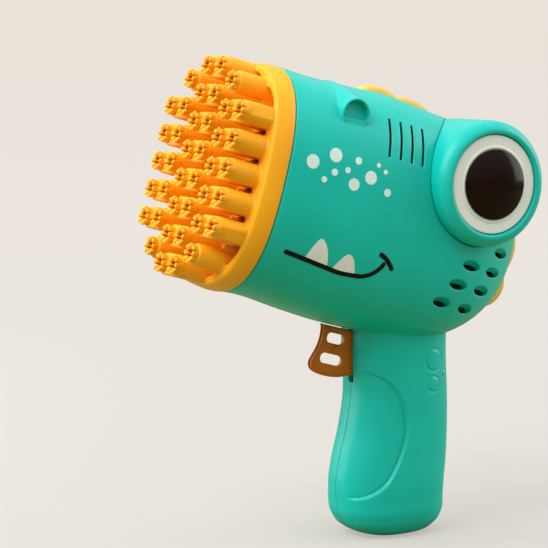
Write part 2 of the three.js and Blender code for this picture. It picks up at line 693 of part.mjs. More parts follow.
function tube(points, radius, steps, sides = 6) {
  const section = new THREE.Shape();
  for (let i = 0; i < sides; i += 1) {
    const angle = 2 * Math.PI * i / sides;
    if (i) section.lineTo(radius * Math.cos(angle), radius * Math.sin(angle));
    else section.moveTo(radius, 0);
  }
  const path = new THREE.CatmullRomCurve3(points);
  return new THREE.ExtrudeGeometry(section, { steps, bevelEnabled: false, extrudePath: path });
}

function switchBody() {
  const { z, frontY, length, width, plungerR } = SWITCH;
  const half = width / 2;
  return cut(toSolid(box(-half, half, frontY, frontY + length, z - half, z + half)),
    toSolid(barY(plungerR + 0.25, frontY - 1, frontY + length - 2, 0, z, 12)));
}

function switchPlunger() {
  const { z, frontY, plungerR } = SWITCH;
  return barY(plungerR, TRIGGER.backY + 0.2, frontY + 7.5, 0, z, 12);
}

// ---------------------------------------------------------------- battery pack

function trayOutline(grow, x0) {
  const { y, halfDepth, floorX, corner } = TRAY;
  const shape = new THREE.Shape();
  const [a, b] = [floorX + grow, halfDepth + grow];
  const r = corner + grow;
  shape.moveTo(x0, y - b);
  shape.lineTo(a - r, y - b);
  shape.absarc(a - r, y - b + r, r, -Math.PI / 2, 0, false);
  shape.lineTo(a, y + b - r);
  shape.absarc(a - r, y + b - r, r, 0, Math.PI / 2, false);
  shape.lineTo(x0, y + b);
  return shape;
}

function upright(outline, lowZ, highZ) {
  return toSolid(extrude(outline, highZ - lowZ, 4).translate(0, 0, lowZ));
}

function trayLip(grow) {
  const { y, mouthX, lowZ, highZ } = TRAY;
  return toSolid(box(mouthX - grow, mouthX + 5, y - 11 - grow, y + 11 + grow, lowZ - grow, highZ + grow));
}

function batteryTray() {
  const { mouthX, lowZ, highZ, wall } = TRAY;
  const body = upright(trayOutline(0, mouthX + 4), lowZ, highZ);
  const room = upright(trayOutline(-wall, mouthX - 1), lowZ + wall, highZ - wall);
  const lug = toSolid(box(mouthX, -8, DOOR_SCREW.y - 4, DOOR_SCREW.y + 4, highZ - 0.5, DOOR_SCREW.z + 3));
  const thread = toSolid(barX(1.3, -20, -9, DOOR_SCREW.y, DOOR_SCREW.z));
  return cut(join(body, trayLip(0), lug), room, thread);
}

const CELL_PLACES = [[-1, -1, 1], [-1, 1, -1], [1, 1, 1], [1, -1, -1]] // x side, y side, nub up or down
  .map(([sx, sy, up]) => ({ x: sx * CELL_SPACING / 2, y: TRAY.y + sy * CELL_SPACING / 2, up }));
const CELL_MIDDLE_Z = (TRAY.lowZ + TRAY.highZ) / 2;

function cell({ x, y, up }) {
  const { r, length, nubR, nubLength } = CELL;
  const half = length / 2;
  const profile = [[0, -half], [r - 0.8, -half], [r, -half + 0.8], [r, half - 0.8], [r - 0.8, half],
    [nubR, half], [nubR, half + nubLength], [0, half + nubLength]];
  const geometry = new THREE.LatheGeometry(profile.map(([u, v]) => new THREE.Vector2(u, v)), 14);
  geometry.rotateX(up > 0 ? Math.PI / 2 : -Math.PI / 2);
  return geometry.translate(x, y, CELL_MIDDLE_Z + up * 0.6);
}

// The coil that presses on a cell's flat end.
function cellSpring({ x, y, up }) {
  const near = CELL_MIDDLE_Z + up * (0.6 - CELL.length / 2 - 0.5);
  const far = up > 0 ? TRAY.lowZ + TRAY.wall + 1 : TRAY.highZ - TRAY.wall - 1;
  const geometry = coil(4, 0.35, 0, Math.abs(far - near) - 0.3, 2.5, 6, 4).rotateX(Math.PI / 2);
  if (up > 0) geometry.rotateX(Math.PI);
  return geometry.translate(x, y, near);
}

function contactPlate(x0, x1, y0, y1, atTop) {
  const z = atTop ? TRAY.highZ - TRAY.wall - 0.55 : TRAY.lowZ + TRAY.wall + 0.15;
  return box(x0, x1, TRAY.y + y0, TRAY.y + y1, z, z + 0.4);
}

// ---------------------------------------------------------------- assembly

const toy = new THREE.Group();
const head = new THREE.Group();
head.position.set(0, TIPS_Y, TIPS_Z);
head.rotation.x = -HEAD_TILT;
toy.add(head);

const whole = casing();
toy.add(place('shell_left', leftShell(whole), TEAL, 0.35));
toy.add(place('shell_right', rightShell(whole), TEAL, 0.35));
screwSites().forEach((site, i) => toy.add(place(`shell_screw_${i + 1}`, shellScrew(site), STEEL, 0.35, 0.9)));
toy.add(place('battery_cover', batteryDoor(), TEAL, 0.35));
toy.add(place('battery_cover_screw', doorScrew(), STEEL, 0.35, 0.9));

head.add(place('nozzle', nozzle(), YELLOW, 0.4));
head.add(place('nozzle_seal', nozzleSeal(), BLACK, 0.8));
head.add(place('air_duct', airDuct(), WHITE, 0.5));
head.add(place('fan_housing', fanHousing(), WHITE, 0.5));
head.add(place('impeller', impeller(), WHITE, 0.4));
head.add(place('motor_shaft', barY(MOTOR.shaftR, 70.5, MOTOR.frontY + 8, 0, 0, 12), STEEL, 0.2, 1));
head.add(place('motor', motor(), STEEL, 0.35, 0.9));
head.add(place('motor_screw_1', motorScrew(-6), STEEL, 0.3, 0.9));
head.add(place('motor_screw_2', motorScrew(6), STEEL, 0.3, 0.9));
head.add(place('crest_top', crest(crestTopShape()), CREST_YELLOW, 0.4));
head.add(place('crest_rear', crest(crestRearShape()), CREST_YELLOW, 0.4));

for (const [side, name] of [[1, 'left'], [-1, 'right']]) {
  const matrix = side > 0 ? new THREE.Matrix4() : MIRROR_X;
  head.add(place(`eye_pod_${name}`, sided(eyePod(), matrix), TEAL, 0.35));
  head.add(place(`eye_white_${name}`, sided(eyeWhite(), matrix), WHITE, 0.3));
  head.add(place(`pupil_${name}`, sided(pupil(), matrix), BLACK, 0.08));
}

head.add(place('trigger', trigger(), AMBER, 0.4));
const returnSpring = coil(3.2, 0.35, TRIGGER.backY + 0.5, SWITCH.frontY - 0.5, 5, 8, 4);
head.add(place('trigger_spring', returnSpring.translate(0, 0, SWITCH.z), STEEL, 0.3, 1));
head.add(place('switch_body', switchBody(), BLACK, 0.5));
head.add(place('switch_plunger', switchPlunger(), WHITE, 0.4));

toy.add(place('battery_tray', batteryTray(), TEAL_DARK, 0.5));
CELL_PLACES.forEach((spot, i) => {
  toy.add(place(`battery_${i + 1}`, cell(spot), BRASS, 0.35, 0.3));
  toy.add(place(`contact_spring_${i + 1}`, cellSpring(spot), STEEL, 0.25, 1));
});
toy.add(place('contact_bottom_front', contactPlate(-12.2, 12.2, -12, -2, false), STEEL, 0.25, 1));
toy.add(place('contact_bottom_back', contactPlate(-12.2, 12.2, 2, 12, false), STEEL, 0.25, 1));
toy.add(place('contact_top_link', contactPlate(-12.2, -2, -12, 12, true), STEEL, 0.25, 1));
toy.add(place('contact_top_front', contactPlate(2, 12.2, -12, -2, true), STEEL, 0.25, 1));
toy.add(place('contact_top_back', contactPlate(2, 12.2, 2, 12, true), STEEL, 0.25, 1));

const along = (...points) => points.map(([x, y, z]) => new THREE.Vector3(x, y, z));
const motorBack = MOTOR.frontY + MOTOR.length;
const WIRE_R = 0.6;
const wireBattery = tube(along([9.5, 14, 66.8], [10.2, 17, 70], [8.4, 19.5, 74.5],
  [4, 18.2, 76.5], [3, 16.9, 75.2]), WIRE_R, 10);
toy.add(place('wire_battery', wireBattery, RED, 0.6));
const wireMotor = tube(along([-3, 125, SWITCH.z + SWITCH.width / 2 + 0.4], [-3.5, 126, -40],
  [-5, 125, -22], [-5, 121, -5], [-5, motorBack + 3.4, 0]), WIRE_R, 12);
head.add(place('wire_motor', wireMotor, RED, 0.6));
const wireReturn = tube(along([9.5, -4, 66.8], [10.5, -1, 76], [9.5, 16, 96],
  [7, 24, 116], [5, 20.5, 127.3]), WIRE_R, 14);
toy.add(place('wire_return', wireReturn, BLACK, 0.6));

export default toy;
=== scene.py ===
"""Looks of a toy bubble blower shaped like a dinosaur's head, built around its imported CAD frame.

Shapes are drawn in millimetres, either in the toy's own frame (+Z up, muzzle towards -Y, origin at
the middle of the handle's foot) or in the head frame, where y runs back along the barrel from the
nozzle's tips and z is square to the barrel. put() turns either into metres in the toy's frame.
"""

import json
import math
import bmesh
import bpy
import numpy as np
from mathutils import Matrix, Vector


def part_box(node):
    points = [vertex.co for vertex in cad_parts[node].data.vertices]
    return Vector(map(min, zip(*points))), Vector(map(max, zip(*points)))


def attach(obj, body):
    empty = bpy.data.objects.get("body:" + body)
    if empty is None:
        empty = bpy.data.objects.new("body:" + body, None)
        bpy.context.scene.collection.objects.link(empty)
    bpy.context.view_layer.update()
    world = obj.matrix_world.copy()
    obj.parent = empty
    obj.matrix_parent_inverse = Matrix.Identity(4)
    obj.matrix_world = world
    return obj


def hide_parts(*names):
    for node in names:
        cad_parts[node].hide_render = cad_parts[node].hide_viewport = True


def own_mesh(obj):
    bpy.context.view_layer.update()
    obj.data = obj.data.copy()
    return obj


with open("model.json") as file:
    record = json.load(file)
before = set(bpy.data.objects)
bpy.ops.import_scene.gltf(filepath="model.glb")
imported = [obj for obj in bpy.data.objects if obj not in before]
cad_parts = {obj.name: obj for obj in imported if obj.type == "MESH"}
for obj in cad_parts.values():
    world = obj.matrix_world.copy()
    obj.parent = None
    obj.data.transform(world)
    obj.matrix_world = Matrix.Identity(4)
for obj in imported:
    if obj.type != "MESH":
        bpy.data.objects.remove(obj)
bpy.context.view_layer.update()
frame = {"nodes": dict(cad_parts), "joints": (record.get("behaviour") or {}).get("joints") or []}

# ---------------------------------------------------------------- frames

MM = 0.001
FAN_MIDDLE_Y = 73  # head frame: the middle of the fan lies on the barrel's axis


def head_frame():
    fan = next(joint for joint in frame["joints"] if joint["name"] == "fan_spin")
    axis = Vector(fan["axis"]).normalized()
    origin = Vector(fan["pos_m"]) - axis * FAN_MIDDLE_Y * MM
    tilt = math.atan2(-axis.z, axis.y)
    return Matrix.Translation(origin) @ Matrix.Rotation(-tilt, 4, "X") @ Matrix.Scale(MM, 4), axis


HEAD, BARREL = head_frame()
TOY = Matrix.Scale(MM, 4)

# ---------------------------------------------------------------- driving dimensions, millimetres

WALL = 2.2
SEAM = 0.07
ROUNDNESS = 2.6
HEAD_FRONT_Y = 24.3
REAR_START_Y = 104
REAR_LENGTH = 54
HEAD_STATIONS = np.array([  # y, half width, top z, bottom z
    (HEAD_FRONT_Y, 36.7, 46.9, -46.5),
    (34.5, 37.3, 46.7, -46.0),
    (60, 38.4, 47.8, -47.9),
    (74, 38.7, 48.9, -48.8),
    (91, 38.7, 48.2, -48.9),
    (REAR_START_Y, 38.5, 47.4, -48.9),
])
HANDLE_ROUNDNESS = 2.6
HANDLE_TOP_Z = 92
HANDLE_STATIONS = np.array([  # z, front y, back y, half width
    (0, -10, 13, 9),
    (1.2, -14.5, 16, 12.5),
    (4, -20.2, 20.4, 15.6),
    (9, -24.2, 23.5, 17.8),
    (16, -25.6, 24, 18.4),
    (24, -25.8, 24.5, 18.8),
    (32, -24.5, 25.2, 18.8),
    (46, -20.9, 25.5, 18.8),
    (60, -18.6, 25.2, 18.8),
    (76, -18.8, 24.4, 18.8),
    (HANDLE_TOP_Z, -18.8, 24.4, 18.8),
])
GRIP_ARC = [  # y, z of the crease round the thumb recess
    (-30, 74.6), (-26.3, 73.6), (-13, 69.2), (-6, 62.7), (-2.5, 53.5), (-1.9, 45), (-4.8, 35.1),
    (-11.2, 24.3), (-20.6, 18.5), (-30, 18)]
GRIP_DEPTH = 1.1
GRIP_BUMPS = [(11.4, 75.2, 4.6), (11.3, 65, 3.2), (18.4, 68.6, 1.7)]  # y, z, radius
BUMP_HEIGHT = 0.25
CREST_HUB_Y = 118  # head frame: the point on the barrel's axis that the rear crest fans out from

SLOT = {"first_y": 68.2, "pitch": 5.45, "count": 4, "low": 21.2, "high": 36.8, "width": 1.2}
AIR_HOLES = [  # y, z, length, height
    (137.3, -3.6, 10, 4.2), (134.7, -12.3, 10, 4.2), (131.1, -20.9, 10.2, 4.2), (126.1, -29.7, 9, 4.2),
    (119.8, -12.2, 10, 4.2), (115.9, -21, 10, 4.2), (111.3, -29.6, 9.2, 4.2)]
EYE_Y, EYE_Z = 115, 21.8
POD_R, POD_ROOT_X = 26, 16
PUPIL_R = 14.4
NOSTRIL_Y, NOSTRIL_Z, NOSTRIL_R = 51, 34.1, 5.75

PITCH = 11.6
COLUMNS = [(0.5, [-3.5, -2.5, -1.5, -0.5, 0.5, 1.5, 2.5, 3.5]), (1.5, [-3, -2, -1, 0, 1, 2, 3]),
           (2.5, [-2, -1, 0, 1, 2])]
RIM_FRONT_Y, RIM_BACK_Y, FLOOR_Y = 15.4, 23.9, 20.2
FINGER_HALF, FINGER_END = 4.57, 3.4
CROWN_BASE_Y = 3.2

DOOR = {"front": -13, "back": 18.6, "low": 7.8, "high": 74, "corner": 4}
DOOR_SCREW = (2.8, 70)
TRAY = {"y": 2.8, "depth": 15.8, "floor": 15.7, "mouth": -11.3, "lip": 11.3, "low": 8.7, "high": 66.7,
        "corner": 7.5}
DOOR_GAP = 0.35
HEAD_SCREWS = [(52, -38.5), (40, 39.5), (139.5, -27.5)]
HANDLE_SCREWS = [(-18.4, 26), (21.3, 17), (20.4, 80)]

SWITCH_Z = -54
TRIGGER_HALF, TRIGGER_EDGE = 1.5, 0.7
TRIGGER_WINDOWS = [(86.1, -54.2, 4.3), (86.2, -63, 5.4)]  # y, z, half length
TRIGGER_MOUTH = [(1.9, 0.7), (1.5, 0.4), (1.4, 0.2), (1.2, 0.06), (1, 0)]  # x, how far it widens
SPRING = {"front": 102.1, "back": 111.9, "radius": 3.2, "wire": 0.35, "turns": 5}

# ---------------------------------------------------------------- mesh tools


def new_object(name, verts, faces):
    mesh = bpy.data.meshes.new(name)
    mesh.from_pydata([tuple(v) for v in verts], [], faces)
    work = bmesh.new()
    work.from_mesh(mesh)
    bmesh.ops.recalc_face_normals(work, faces=work.faces)
    work.to_mesh(mesh)
    work.free()
    thing = bpy.data.objects.new(name, mesh)
    bpy.context.scene.collection.objects.link(thing)
    return thing


def loft_faces(count, around, start=0, closed=True):
    faces = []
    last = around if closed else around - 1
    for r in range(count - 1):
        low = start + r * around
        for i in range(last):
            j = (i + 1) % around
            faces.append((low + i, low + j, low + around + j, low + around + i))
    return faces


def loft(rings):
    """Verts and faces of the closed skin over rings (count, around, 3), fanned shut at both ends."""
    rings = np.asarray(rings, float)
    count, around = rings.shape[:2]
    verts = list(rings.reshape(-1, 3))
    faces = loft_faces(count, around)
    for first, ring in ((0, rings[0]), ((count - 1) * around, rings[-1])):
        hub = len(verts)
        verts.append(ring.mean(0))
        faces += [(hub, first + i, first + (i + 1) % around) for i in range(around)]
    return verts, faces


def loft_loop(rings):
    """Verts and faces of a closed band: as loft, but the last ring joins the first."""
    rings = np.array(rings)
    count, around = rings.shape[:2]
    faces = loft_faces(count, around)
    last = (count - 1) * around
    faces += [(last + i, last + (i + 1) % around, (i + 1) % around, i) for i in range(around)]
    return list(rings.reshape(-1, 3)), faces


def across(outline, x):
    """An outline of (y, z) points as a ring at x, which is one place or one for each point."""
    return np.insert(outline, 0, x, axis=1)


def merge(parts):
    """One verts and faces list from several."""
    verts, faces = [], []
    for part_verts, part_faces in parts:
        base = len(verts)
        verts += list(part_verts)
        faces += [tuple(base + i for i in face) for face in part_faces]
    return verts, faces


def solid(parts, name="work"):
    return new_object(name, *merge(parts))


def boolean(target, tool, operation):
    modifier = target.modifiers.new("boolean", "BOOLEAN")
    modifier.operation = operation
    modifier.solver = "MANIFOLD"
    modifier.object = tool
    depsgraph = bpy.context.evaluated_depsgraph_get()
    result = bpy.data.meshes.new_from_object(target.evaluated_get(depsgraph))
    target.modifiers.clear()
    old = target.data
    target.data = result
    bpy.data.meshes.remove(old)
    bpy.data.objects.remove(tool)
    return target


def cut(target, parts):
    return boolean(target, solid(parts), "DIFFERENCE")


def join(target, parts):
    return boolean(target, solid(parts), "UNION")


def copy_of(thing):
    twin = thing.copy()
    twin.data = thing.data.copy()
    bpy.context.scene.collection.objects.link(twin)
    return twin


def put(thing, name, matrix, material, body="casing", replaces=(), sharp=38):
    """Names a finished piece, moves it into place and ties it to its body."""
    thing.name = name
    thing.data.name = name
    thing.data.transform(matrix)
    if material:
        thing.data.materials.clear()
        thing.data.materials.append(material)
    thing.data.shade_smooth()
    thing.data.set_sharp_from_angle(angle=math.radians(sharp))
    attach(thing, body)
    if replaces:
        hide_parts(*replaces)
    return thing


# ---------------------------------------------------------------- curves and outlines


def smooth_table(table, at, flat_end):
    """Columns 1.. of table as smooth functions of column 0, at the given places."""
    xs, ys = table[:, 0], table[:, 1:]
    slopes = np.gradient(ys, xs, axis=0)
    if flat_end:
        slopes[-1] = 0
    at = np.clip(np.asarray(at, float), xs[0], xs[-1])
    k = np.clip(np.searchsorted(xs, at, side="right") - 1, 0, len(xs) - 2)
    h = xs[k + 1] - xs[k]
    t = ((at - xs[k]) / h)[..., None]
    h = h[..., None]
    return (ys[k] * (1 + 2 * t) * (1 - t) ** 2 + slopes[k] * h * t * (1 - t) ** 2
            + ys[k + 1] * t * t * (3 - 2 * t) + slopes[k + 1] * h * t * t * (t - 1))


def spline(points, per_span=8, closed=False):
    """Catmull-Rom curve through points."""
    p = np.asarray(points, float)
    count = len(p)
    out = []
    for i in range(count if closed else count - 1):
        if closed:
            a, b, c, d = (p[(i + k) % count] for k in (-1, 0, 1, 2))
        else:
            b, c = p[i], p[i + 1]
            a = p[i - 1] if i else 2 * b - c
            d = p[i + 2] if i + 2 < count else 2 * c - b
        for t in np.arange(per_span) / per_span:
            out.append(0.5 * (2 * b + (c - a) * t + (2 * a - 5 * b + 4 * c - d) * t * t
                              + (3 * b - a - 3 * c + d) * t ** 3))
    if not closed:
        out.append(p[-1])
    return np.array(out)


def curve_chain(start, spans, steps=10):
    """Quadratic curves from start through (control, end) pairs."""
    points = [np.array(start, float)]
    for control, end in spans:
        a, b, c = points[-1], np.array(control, float), np.array(end, float)
        for t in np.arange(1, steps + 1) / steps:
            points.append(a * (1 - t) ** 2 + 2 * b * t * (1 - t) + c * t * t)
    return np.array(points)


def superellipse(angles, half_u, half_v, exponent):
    c, s = np.cos(angles), np.sin(angles)
    power = 2 / exponent
    return np.sign(c) * half_u * np.abs(c) ** power, np.sign(s) * half_v * np.abs(s) ** power


def ring_angles(half_u, half_v, exponent, step, near_seam=(0.15, 0.3, 0.5, 0.75)):
    """Angles evenly spread along a superellipse, with extra ones close to u = 0."""
    fine = np.linspace(0, 2 * np.pi, 8001)
    u, v = superellipse(fine, half_u, half_v, exponent)
    length = np.concatenate([[0], np.cumsum(np.hypot(np.diff(u), np.diff(v)))])
    count = 4 * int(length[-1] / step / 4)
    even = np.interp(np.arange(count) * length[-1] / count, length, fine)
    if near_seam:
        far = np.abs(superellipse(even, half_u, half_v, exponent)[0]) > near_seam[-1] + step / 2
        cosines = (np.array(near_seam) / half_u) ** (exponent / 2)
        extra = np.concatenate([np.arccos(cosines), np.pi - np.arccos(cosines), [np.pi / 2]])
        even = np.sort(np.concatenate([even[far], extra, extra + np.pi]))
    return even


def stadium(y, z, half_y, half_z, corner, steps=8, fill=1):
    """Rounded rectangle round (y, z), each straight side in fill spans."""
    corner = max(min(corner, half_y, half_z), 1e-3)
    quarter = np.linspace(0, np.pi / 2, steps)
    corners = []
    for sy, sz, start in ((1, 1, 0), (-1, 1, 1), (-1, -1, 2), (1, -1, 3)):
        angle = quarter + start * np.pi / 2
        corners.append(np.stack([y + sy * (half_y - corner) + corner * np.cos(angle),
                                 z + sz * (half_z - corner) + corner * np.sin(angle)], 1))
    points = []
    for i, arc in enumerate(corners):
        after = corners[(i + 1) % 4][0]
        side = after - arc[-1]
        if abs(side).max() < 1e-6:
            points += list(arc[:-1])
        else:
            points += list(arc) + [arc[-1] + side * k / fill for k in range(1, fill)]
    return np.array(points)


def ellipse(y, z, half_y, half_z, steps=40):
    angle = np.arange(steps) * 2 * np.pi / steps
    return np.stack([y + half_y * np.cos(angle), z + half_z * np.sin(angle)], 1)


# ---------------------------------------------------------------- casing surfaces


def seam_rounding(x):
    """How far the skin falls away beside the joint between the two halves."""
    radius = 0.4
    t = np.clip(1 - np.abs(x) / radius, 0, 1)
    return radius * (1 - np.sqrt(1 - t * t)) * 0.8


def head_sizes(y, inset=0.0):
    y = np.asarray(y, float)
    values = smooth_table(HEAD_STATIONS, y, flat_end=True)
    half, top, bottom = values[..., 0] - inset, values[..., 1] - inset, values[..., 2] + inset
    reach = np.clip((y - REAR_START_Y) / (REAR_LENGTH - inset), 0, 1)
    shrink = np.sqrt(1 - reach * reach)
    return half * shrink, top * shrink, bottom * shrink


def head_x(y, z):
    """Half width of the head's skin at (y, z)."""
    half, top, bottom = head_sizes(y)
    middle, reach = (top + bottom) / 2, (top - bottom) / 2
    share = np.clip(np.abs((z - middle) / np.maximum(reach, 1e-6)), 0, 1)
    return half * (1 - share ** ROUNDNESS) ** (1 / ROUNDNESS)


def head_rings(ys, angles, inset=0.0, trims=None, rounded=False):
    rings = []
    for i, y in enumerate(ys):
        half, top, bottom = head_sizes(y, inset)
        trim = trims[i] if trims is not None else 0
        x, z = superellipse(angles, half - trim, (top - bottom) / 2 - trim, ROUNDNESS)
        z = z + (top + bottom) / 2
        if rounded:
            z -= np.sign(z) * seam_rounding(x)
        rings.append(np.stack([x, np.full_like(x, y), z], 1))
    return np.array(rings)


def rear_ys(step, inset=0.0, last=88.6):
    turns = np.radians(np.arange(step, last, step))
    return REAR_START_Y + (REAR_LENGTH - inset) * np.sin(np.append(turns, math.radians(last)))


def head_outer():
    angles = ring_angles(38.5, 48.3, ROUNDNESS, 1.1)
    lip = [(0, 0.6), (0.1, 0.33), (0.3, 0.12), (0.6, 0)]  # rounded front edge: y, inset
    ys = np.concatenate([[HEAD_FRONT_Y + dy for dy, _ in lip],
                         np.arange(HEAD_FRONT_Y + 1.5, REAR_START_Y + 0.1, 1.15), rear_ys(1.2)])
    trims = np.zeros(len(ys))
    trims[:len(lip)] = [trim for _, trim in lip]
    return loft(head_rings(ys, angles, trims=trims, rounded=True))


def head_inner(inset=WALL):
    angles = ring_angles(36, 46, ROUNDNESS, 3.4, near_seam=())
    ys = np.concatenate([[HEAD_FRONT_Y - 4], np.arange(28, REAR_START_Y, 5), rear_ys(6, inset)])
    return loft(head_rings(ys, angles, inset))


def handle_sizes(z):
    values = smooth_table(HANDLE_STATIONS, z, flat_end=True)
    return values[..., 0], values[..., 1], values[..., 2]


def arc_distance(y, z):
    """Signed distance to the grip crease, positive inside the recess."""
    curve = spline(GRIP_ARC, 10)
    a, b = curve[:-1], curve[1:]
    point = np.stack([y, z], -1)[..., None, :]
    along = b - a
    t = np.clip(((point - a) * along).sum(-1) / (along ** 2).sum(-1), 0, 1)
    gap = point - a - t[..., None] * along
    distance = np.sqrt((gap ** 2).sum(-1))
    nearest = distance.argmin(-1)
    g = np.take_along_axis(gap, nearest[..., None, None], -2)[..., 0, :]
    side = along[nearest][..., 0] * g[..., 1] - along[nearest][..., 1] * g[..., 0]
    return -np.sign(side) * distance.min(-1)


def smoothstep(t):
    t = np.clip(t, 0, 1)
    return t * t * (3 - 2 * t)


def handle_relief(y, z):
    """Inward move of the handle's side skin: the thumb recess, less its raised spots."""
    step, groove = 0.9, 0.5  # widths of the step and of the groove along its foot
    inside = arc_distance(y, z)
    depth = GRIP_DEPTH * smoothstep(inside / step + 0.5) + 0.35 * np.exp(-((inside - 0.4) / groove) ** 2)
    for by, bz, radius in GRIP_BUMPS:
        inside = radius - np.hypot(y - by, z - bz)
        depth += 0.25 * np.exp(-(inside / 0.45) ** 2) - BUMP_HEIGHT * smoothstep(inside / 0.8)
    return depth


def handle_x(y, z):
    front, back, half = handle_sizes(z)
    share = np.clip(np.abs((y - (front + back) / 2) / ((back - front) / 2)), 0, 1)
    skin = half * (1 - share ** HANDLE_ROUNDNESS) ** (1 / HANDLE_ROUNDNESS)
    return skin - handle_relief(y, z) * smoothstep((skin - 5) / 8)


def handle_rings(zs, angles, inset=0.0, rounded=False):
    rings = []
    for z in zs:
        front, back, half = handle_sizes(z)
        x, y = superellipse(angles, half - inset, (back - front) / 2 - inset, HANDLE_ROUNDNESS)
        if rounded:
            y -= np.sign(y) * seam_rounding(x)
        y = y + (front + back) / 2
        if rounded:
            x = x - np.sign(x) * handle_relief(y, np.full_like(y, z)) * smoothstep((np.abs(x) - 5) / 8)
        rings.append(np.stack([x, y, np.full_like(x, z)], 1))
    return np.array(rings)


def handle_outer():
    angles = ring_angles(19.3, 26, HANDLE_ROUNDNESS, 0.42)
    foot = 12 * (1 - np.cos(np.linspace(0, np.pi / 2, 22)))
    zs = np.concatenate([foot, np.arange(12.4, 81, 0.42), np.arange(82, HANDLE_TOP_Z + 1, 2)])
    return loft(handle_rings(zs, angles, rounded=True))


def handle_inner():
    angles = ring_angles(17, 24, HANDLE_ROUNDNESS, 3, near_seam=())
    zs = np.concatenate([[WALL + 0.6, 4, 6], np.arange(9, HANDLE_TOP_Z, 5), [HANDLE_TOP_Z]])
    return loft(handle_rings(zs, angles, WALL))


# ---------------------------------------------------------------- casing cuts


def flared(outline, surface, edge, inner_x, side, grow=1, throat=None, relief=0):
    """A cutter along x whose mouth widens as a rounded edge where it meets the surface.

    outline(offset) gives (y, z) points; with grow = -1 it is a plug with rounded shoulders.
    throat, if given, is the smaller outline the hole has drawn in to at the skin's inner side.
    relief widens the hole just under its mouth, as where the skin is thinned from behind."""
    first = math.radians(18)
    tangent = 0.35 / math.tan(first)
    levels = [(edge * (1 - math.sin(first)) + tangent, edge * (1 - math.cos(first)) - 0.35)]
    for turn in np.linspace(first, np.pi / 2, 6):
        levels.append((edge * (1 - math.sin(turn)), edge * (1 - math.cos(turn))))

    def under_skin(yz, depth):
        return across(yz, side * (surface(yz[:, 0], yz[:, 1]) - depth))

    mouth = outline(grow * levels[0][0])
    clear = surface(mouth[:, 0], mouth[:, 1]).max() + 3
    rings = [across(mouth, side * clear)]
    rings += [under_skin(outline(grow * offset), depth) for offset, depth in levels]
    if relief:
        rings += [under_skin(outline(offset), depth) for offset, depth in ((0, 0.55), (relief, 0.7))]
    inner = outline(relief) if throat is None else throat
    if throat is not None:
        rings.append(under_skin(throat, WALL))
    return loft(rings + [across(inner, side * inner_x)])


def bar_x(x0, x1, y, z, r0, r1=None, steps=48):
    ends = ((x0, r0), (x1, r0 if r1 is None else r1))
    return loft([across(ellipse(y, z, r, r, steps), x) for x, r in ends])


def nostril_hood(side):
    """The hood's flared body, a turned shape across the head."""
    root = spline([(8, 13.4), (16, 11.7), (22, 9.9), (26, 8.5), (29, 7.5), (31, 6.95), (32.3, 6.75)], 5)
    edge = [(32.3 + 0.7 * math.sin(t), 6.05 + 0.7 * math.cos(t)) for t in np.linspace(0.2, 1.5, 6)]
    profile = list(root) + edge
    return loft([across(ellipse(NOSTRIL_Y, NOSTRIL_Z, r, r, 72), side * x) for x, r in profile])


def nostril_outline(grow):
    """The nostril's mouth: a half circle over a flat, round-cornered sill that tips up at the back."""
    upper, lower = np.linspace(0, np.pi, 40), np.linspace(np.pi, 2 * np.pi, 32)[1:-1]
    y, z = superellipse(upper, NOSTRIL_R + grow, NOSTRIL_R + grow, 2)
    sill_y, sill_z = superellipse(lower, NOSTRIL_R + grow, 1.9 + grow, 6)
    y, z = np.append(y, sill_y), np.append(z, sill_z)
    return np.stack([NOSTRIL_Y + y, NOSTRIL_Z + z + 0.1 * y * (z < 0)], 1)


def nostril_hole(side):
    """The nostril's tool, whose floor leans in towards the top."""
    rings = []
    for grow, level in ((0, 0), (0, 1.4), (0.1, 1.8), (0.3, 2.05), (0.8, 2.5), (0.8, 5)):
        yz = nostril_outline(grow)
        floor = 30.9 - 0.17 * (yz[:, 1] - 32)
        rings.append(across(yz, side * (31 + level if level else floor)))
    return loft(rings)


def slot_tools(side):
    tools = []
    middle = (SLOT["low"] + SLOT["high"]) / 2
    half = (SLOT["high"] - SLOT["low"]) / 2
    for i in range(SLOT["count"]):
        y = SLOT["first_y"] + i * SLOT["pitch"]

        def outline(o, y=y):
            return stadium(y, middle, SLOT["width"] / 2 + o, half + o, SLOT["width"] / 2 + o, fill=10)

        tools.append(flared(outline, head_x, 0.35, 18, side, relief=1.5))
    return tools


def air_hole_tools(side):
    tools = []
    for y, z, length, height in AIR_HOLES:
        def outline(o, y=y, z=z, a=length / 2, b=height / 2):
            return ellipse(y, z, a + o, b + o)

        throat = ellipse(y + 0.3, z - height * 0.2, length / 2 - 0.8, height * 0.27)
        tools.append(flared(outline, head_x, 0.4, 12, side, throat=throat))
    return tools


def crest_top_outline(grow=0.0):
    return curve_chain((69 - grow, 49), [
        ((71.5, 52.3 + grow), (78, 52.3 + grow)),
        ((84, 52.1 + grow), (86.3, 50 + grow)),
        ((89, 51.3 + grow), (94, 51.1 + grow)),
        ((101, 50.6 + grow), (103.5 + grow, 48.4))])


def crest_rear_outline(grow=0.0):
    return curve_chain((153, 27.5 + grow), [
        ((163.4 + grow, 21), (161.2 + grow, 9.5)),
        ((165.9 + grow, 6), (165 + grow, -1)),
        ((164.6 + grow, -6.5), (161.6 + grow, -9)),
        ((164.8 + grow, -14), (163.2 + grow, -18.5)),
        ((161.4 + grow, -24), (154.5, -26.5 - grow))])


def slab_x(outline, x0, x1):
    return loft([across(outline, x) for x in (x0, x1)])


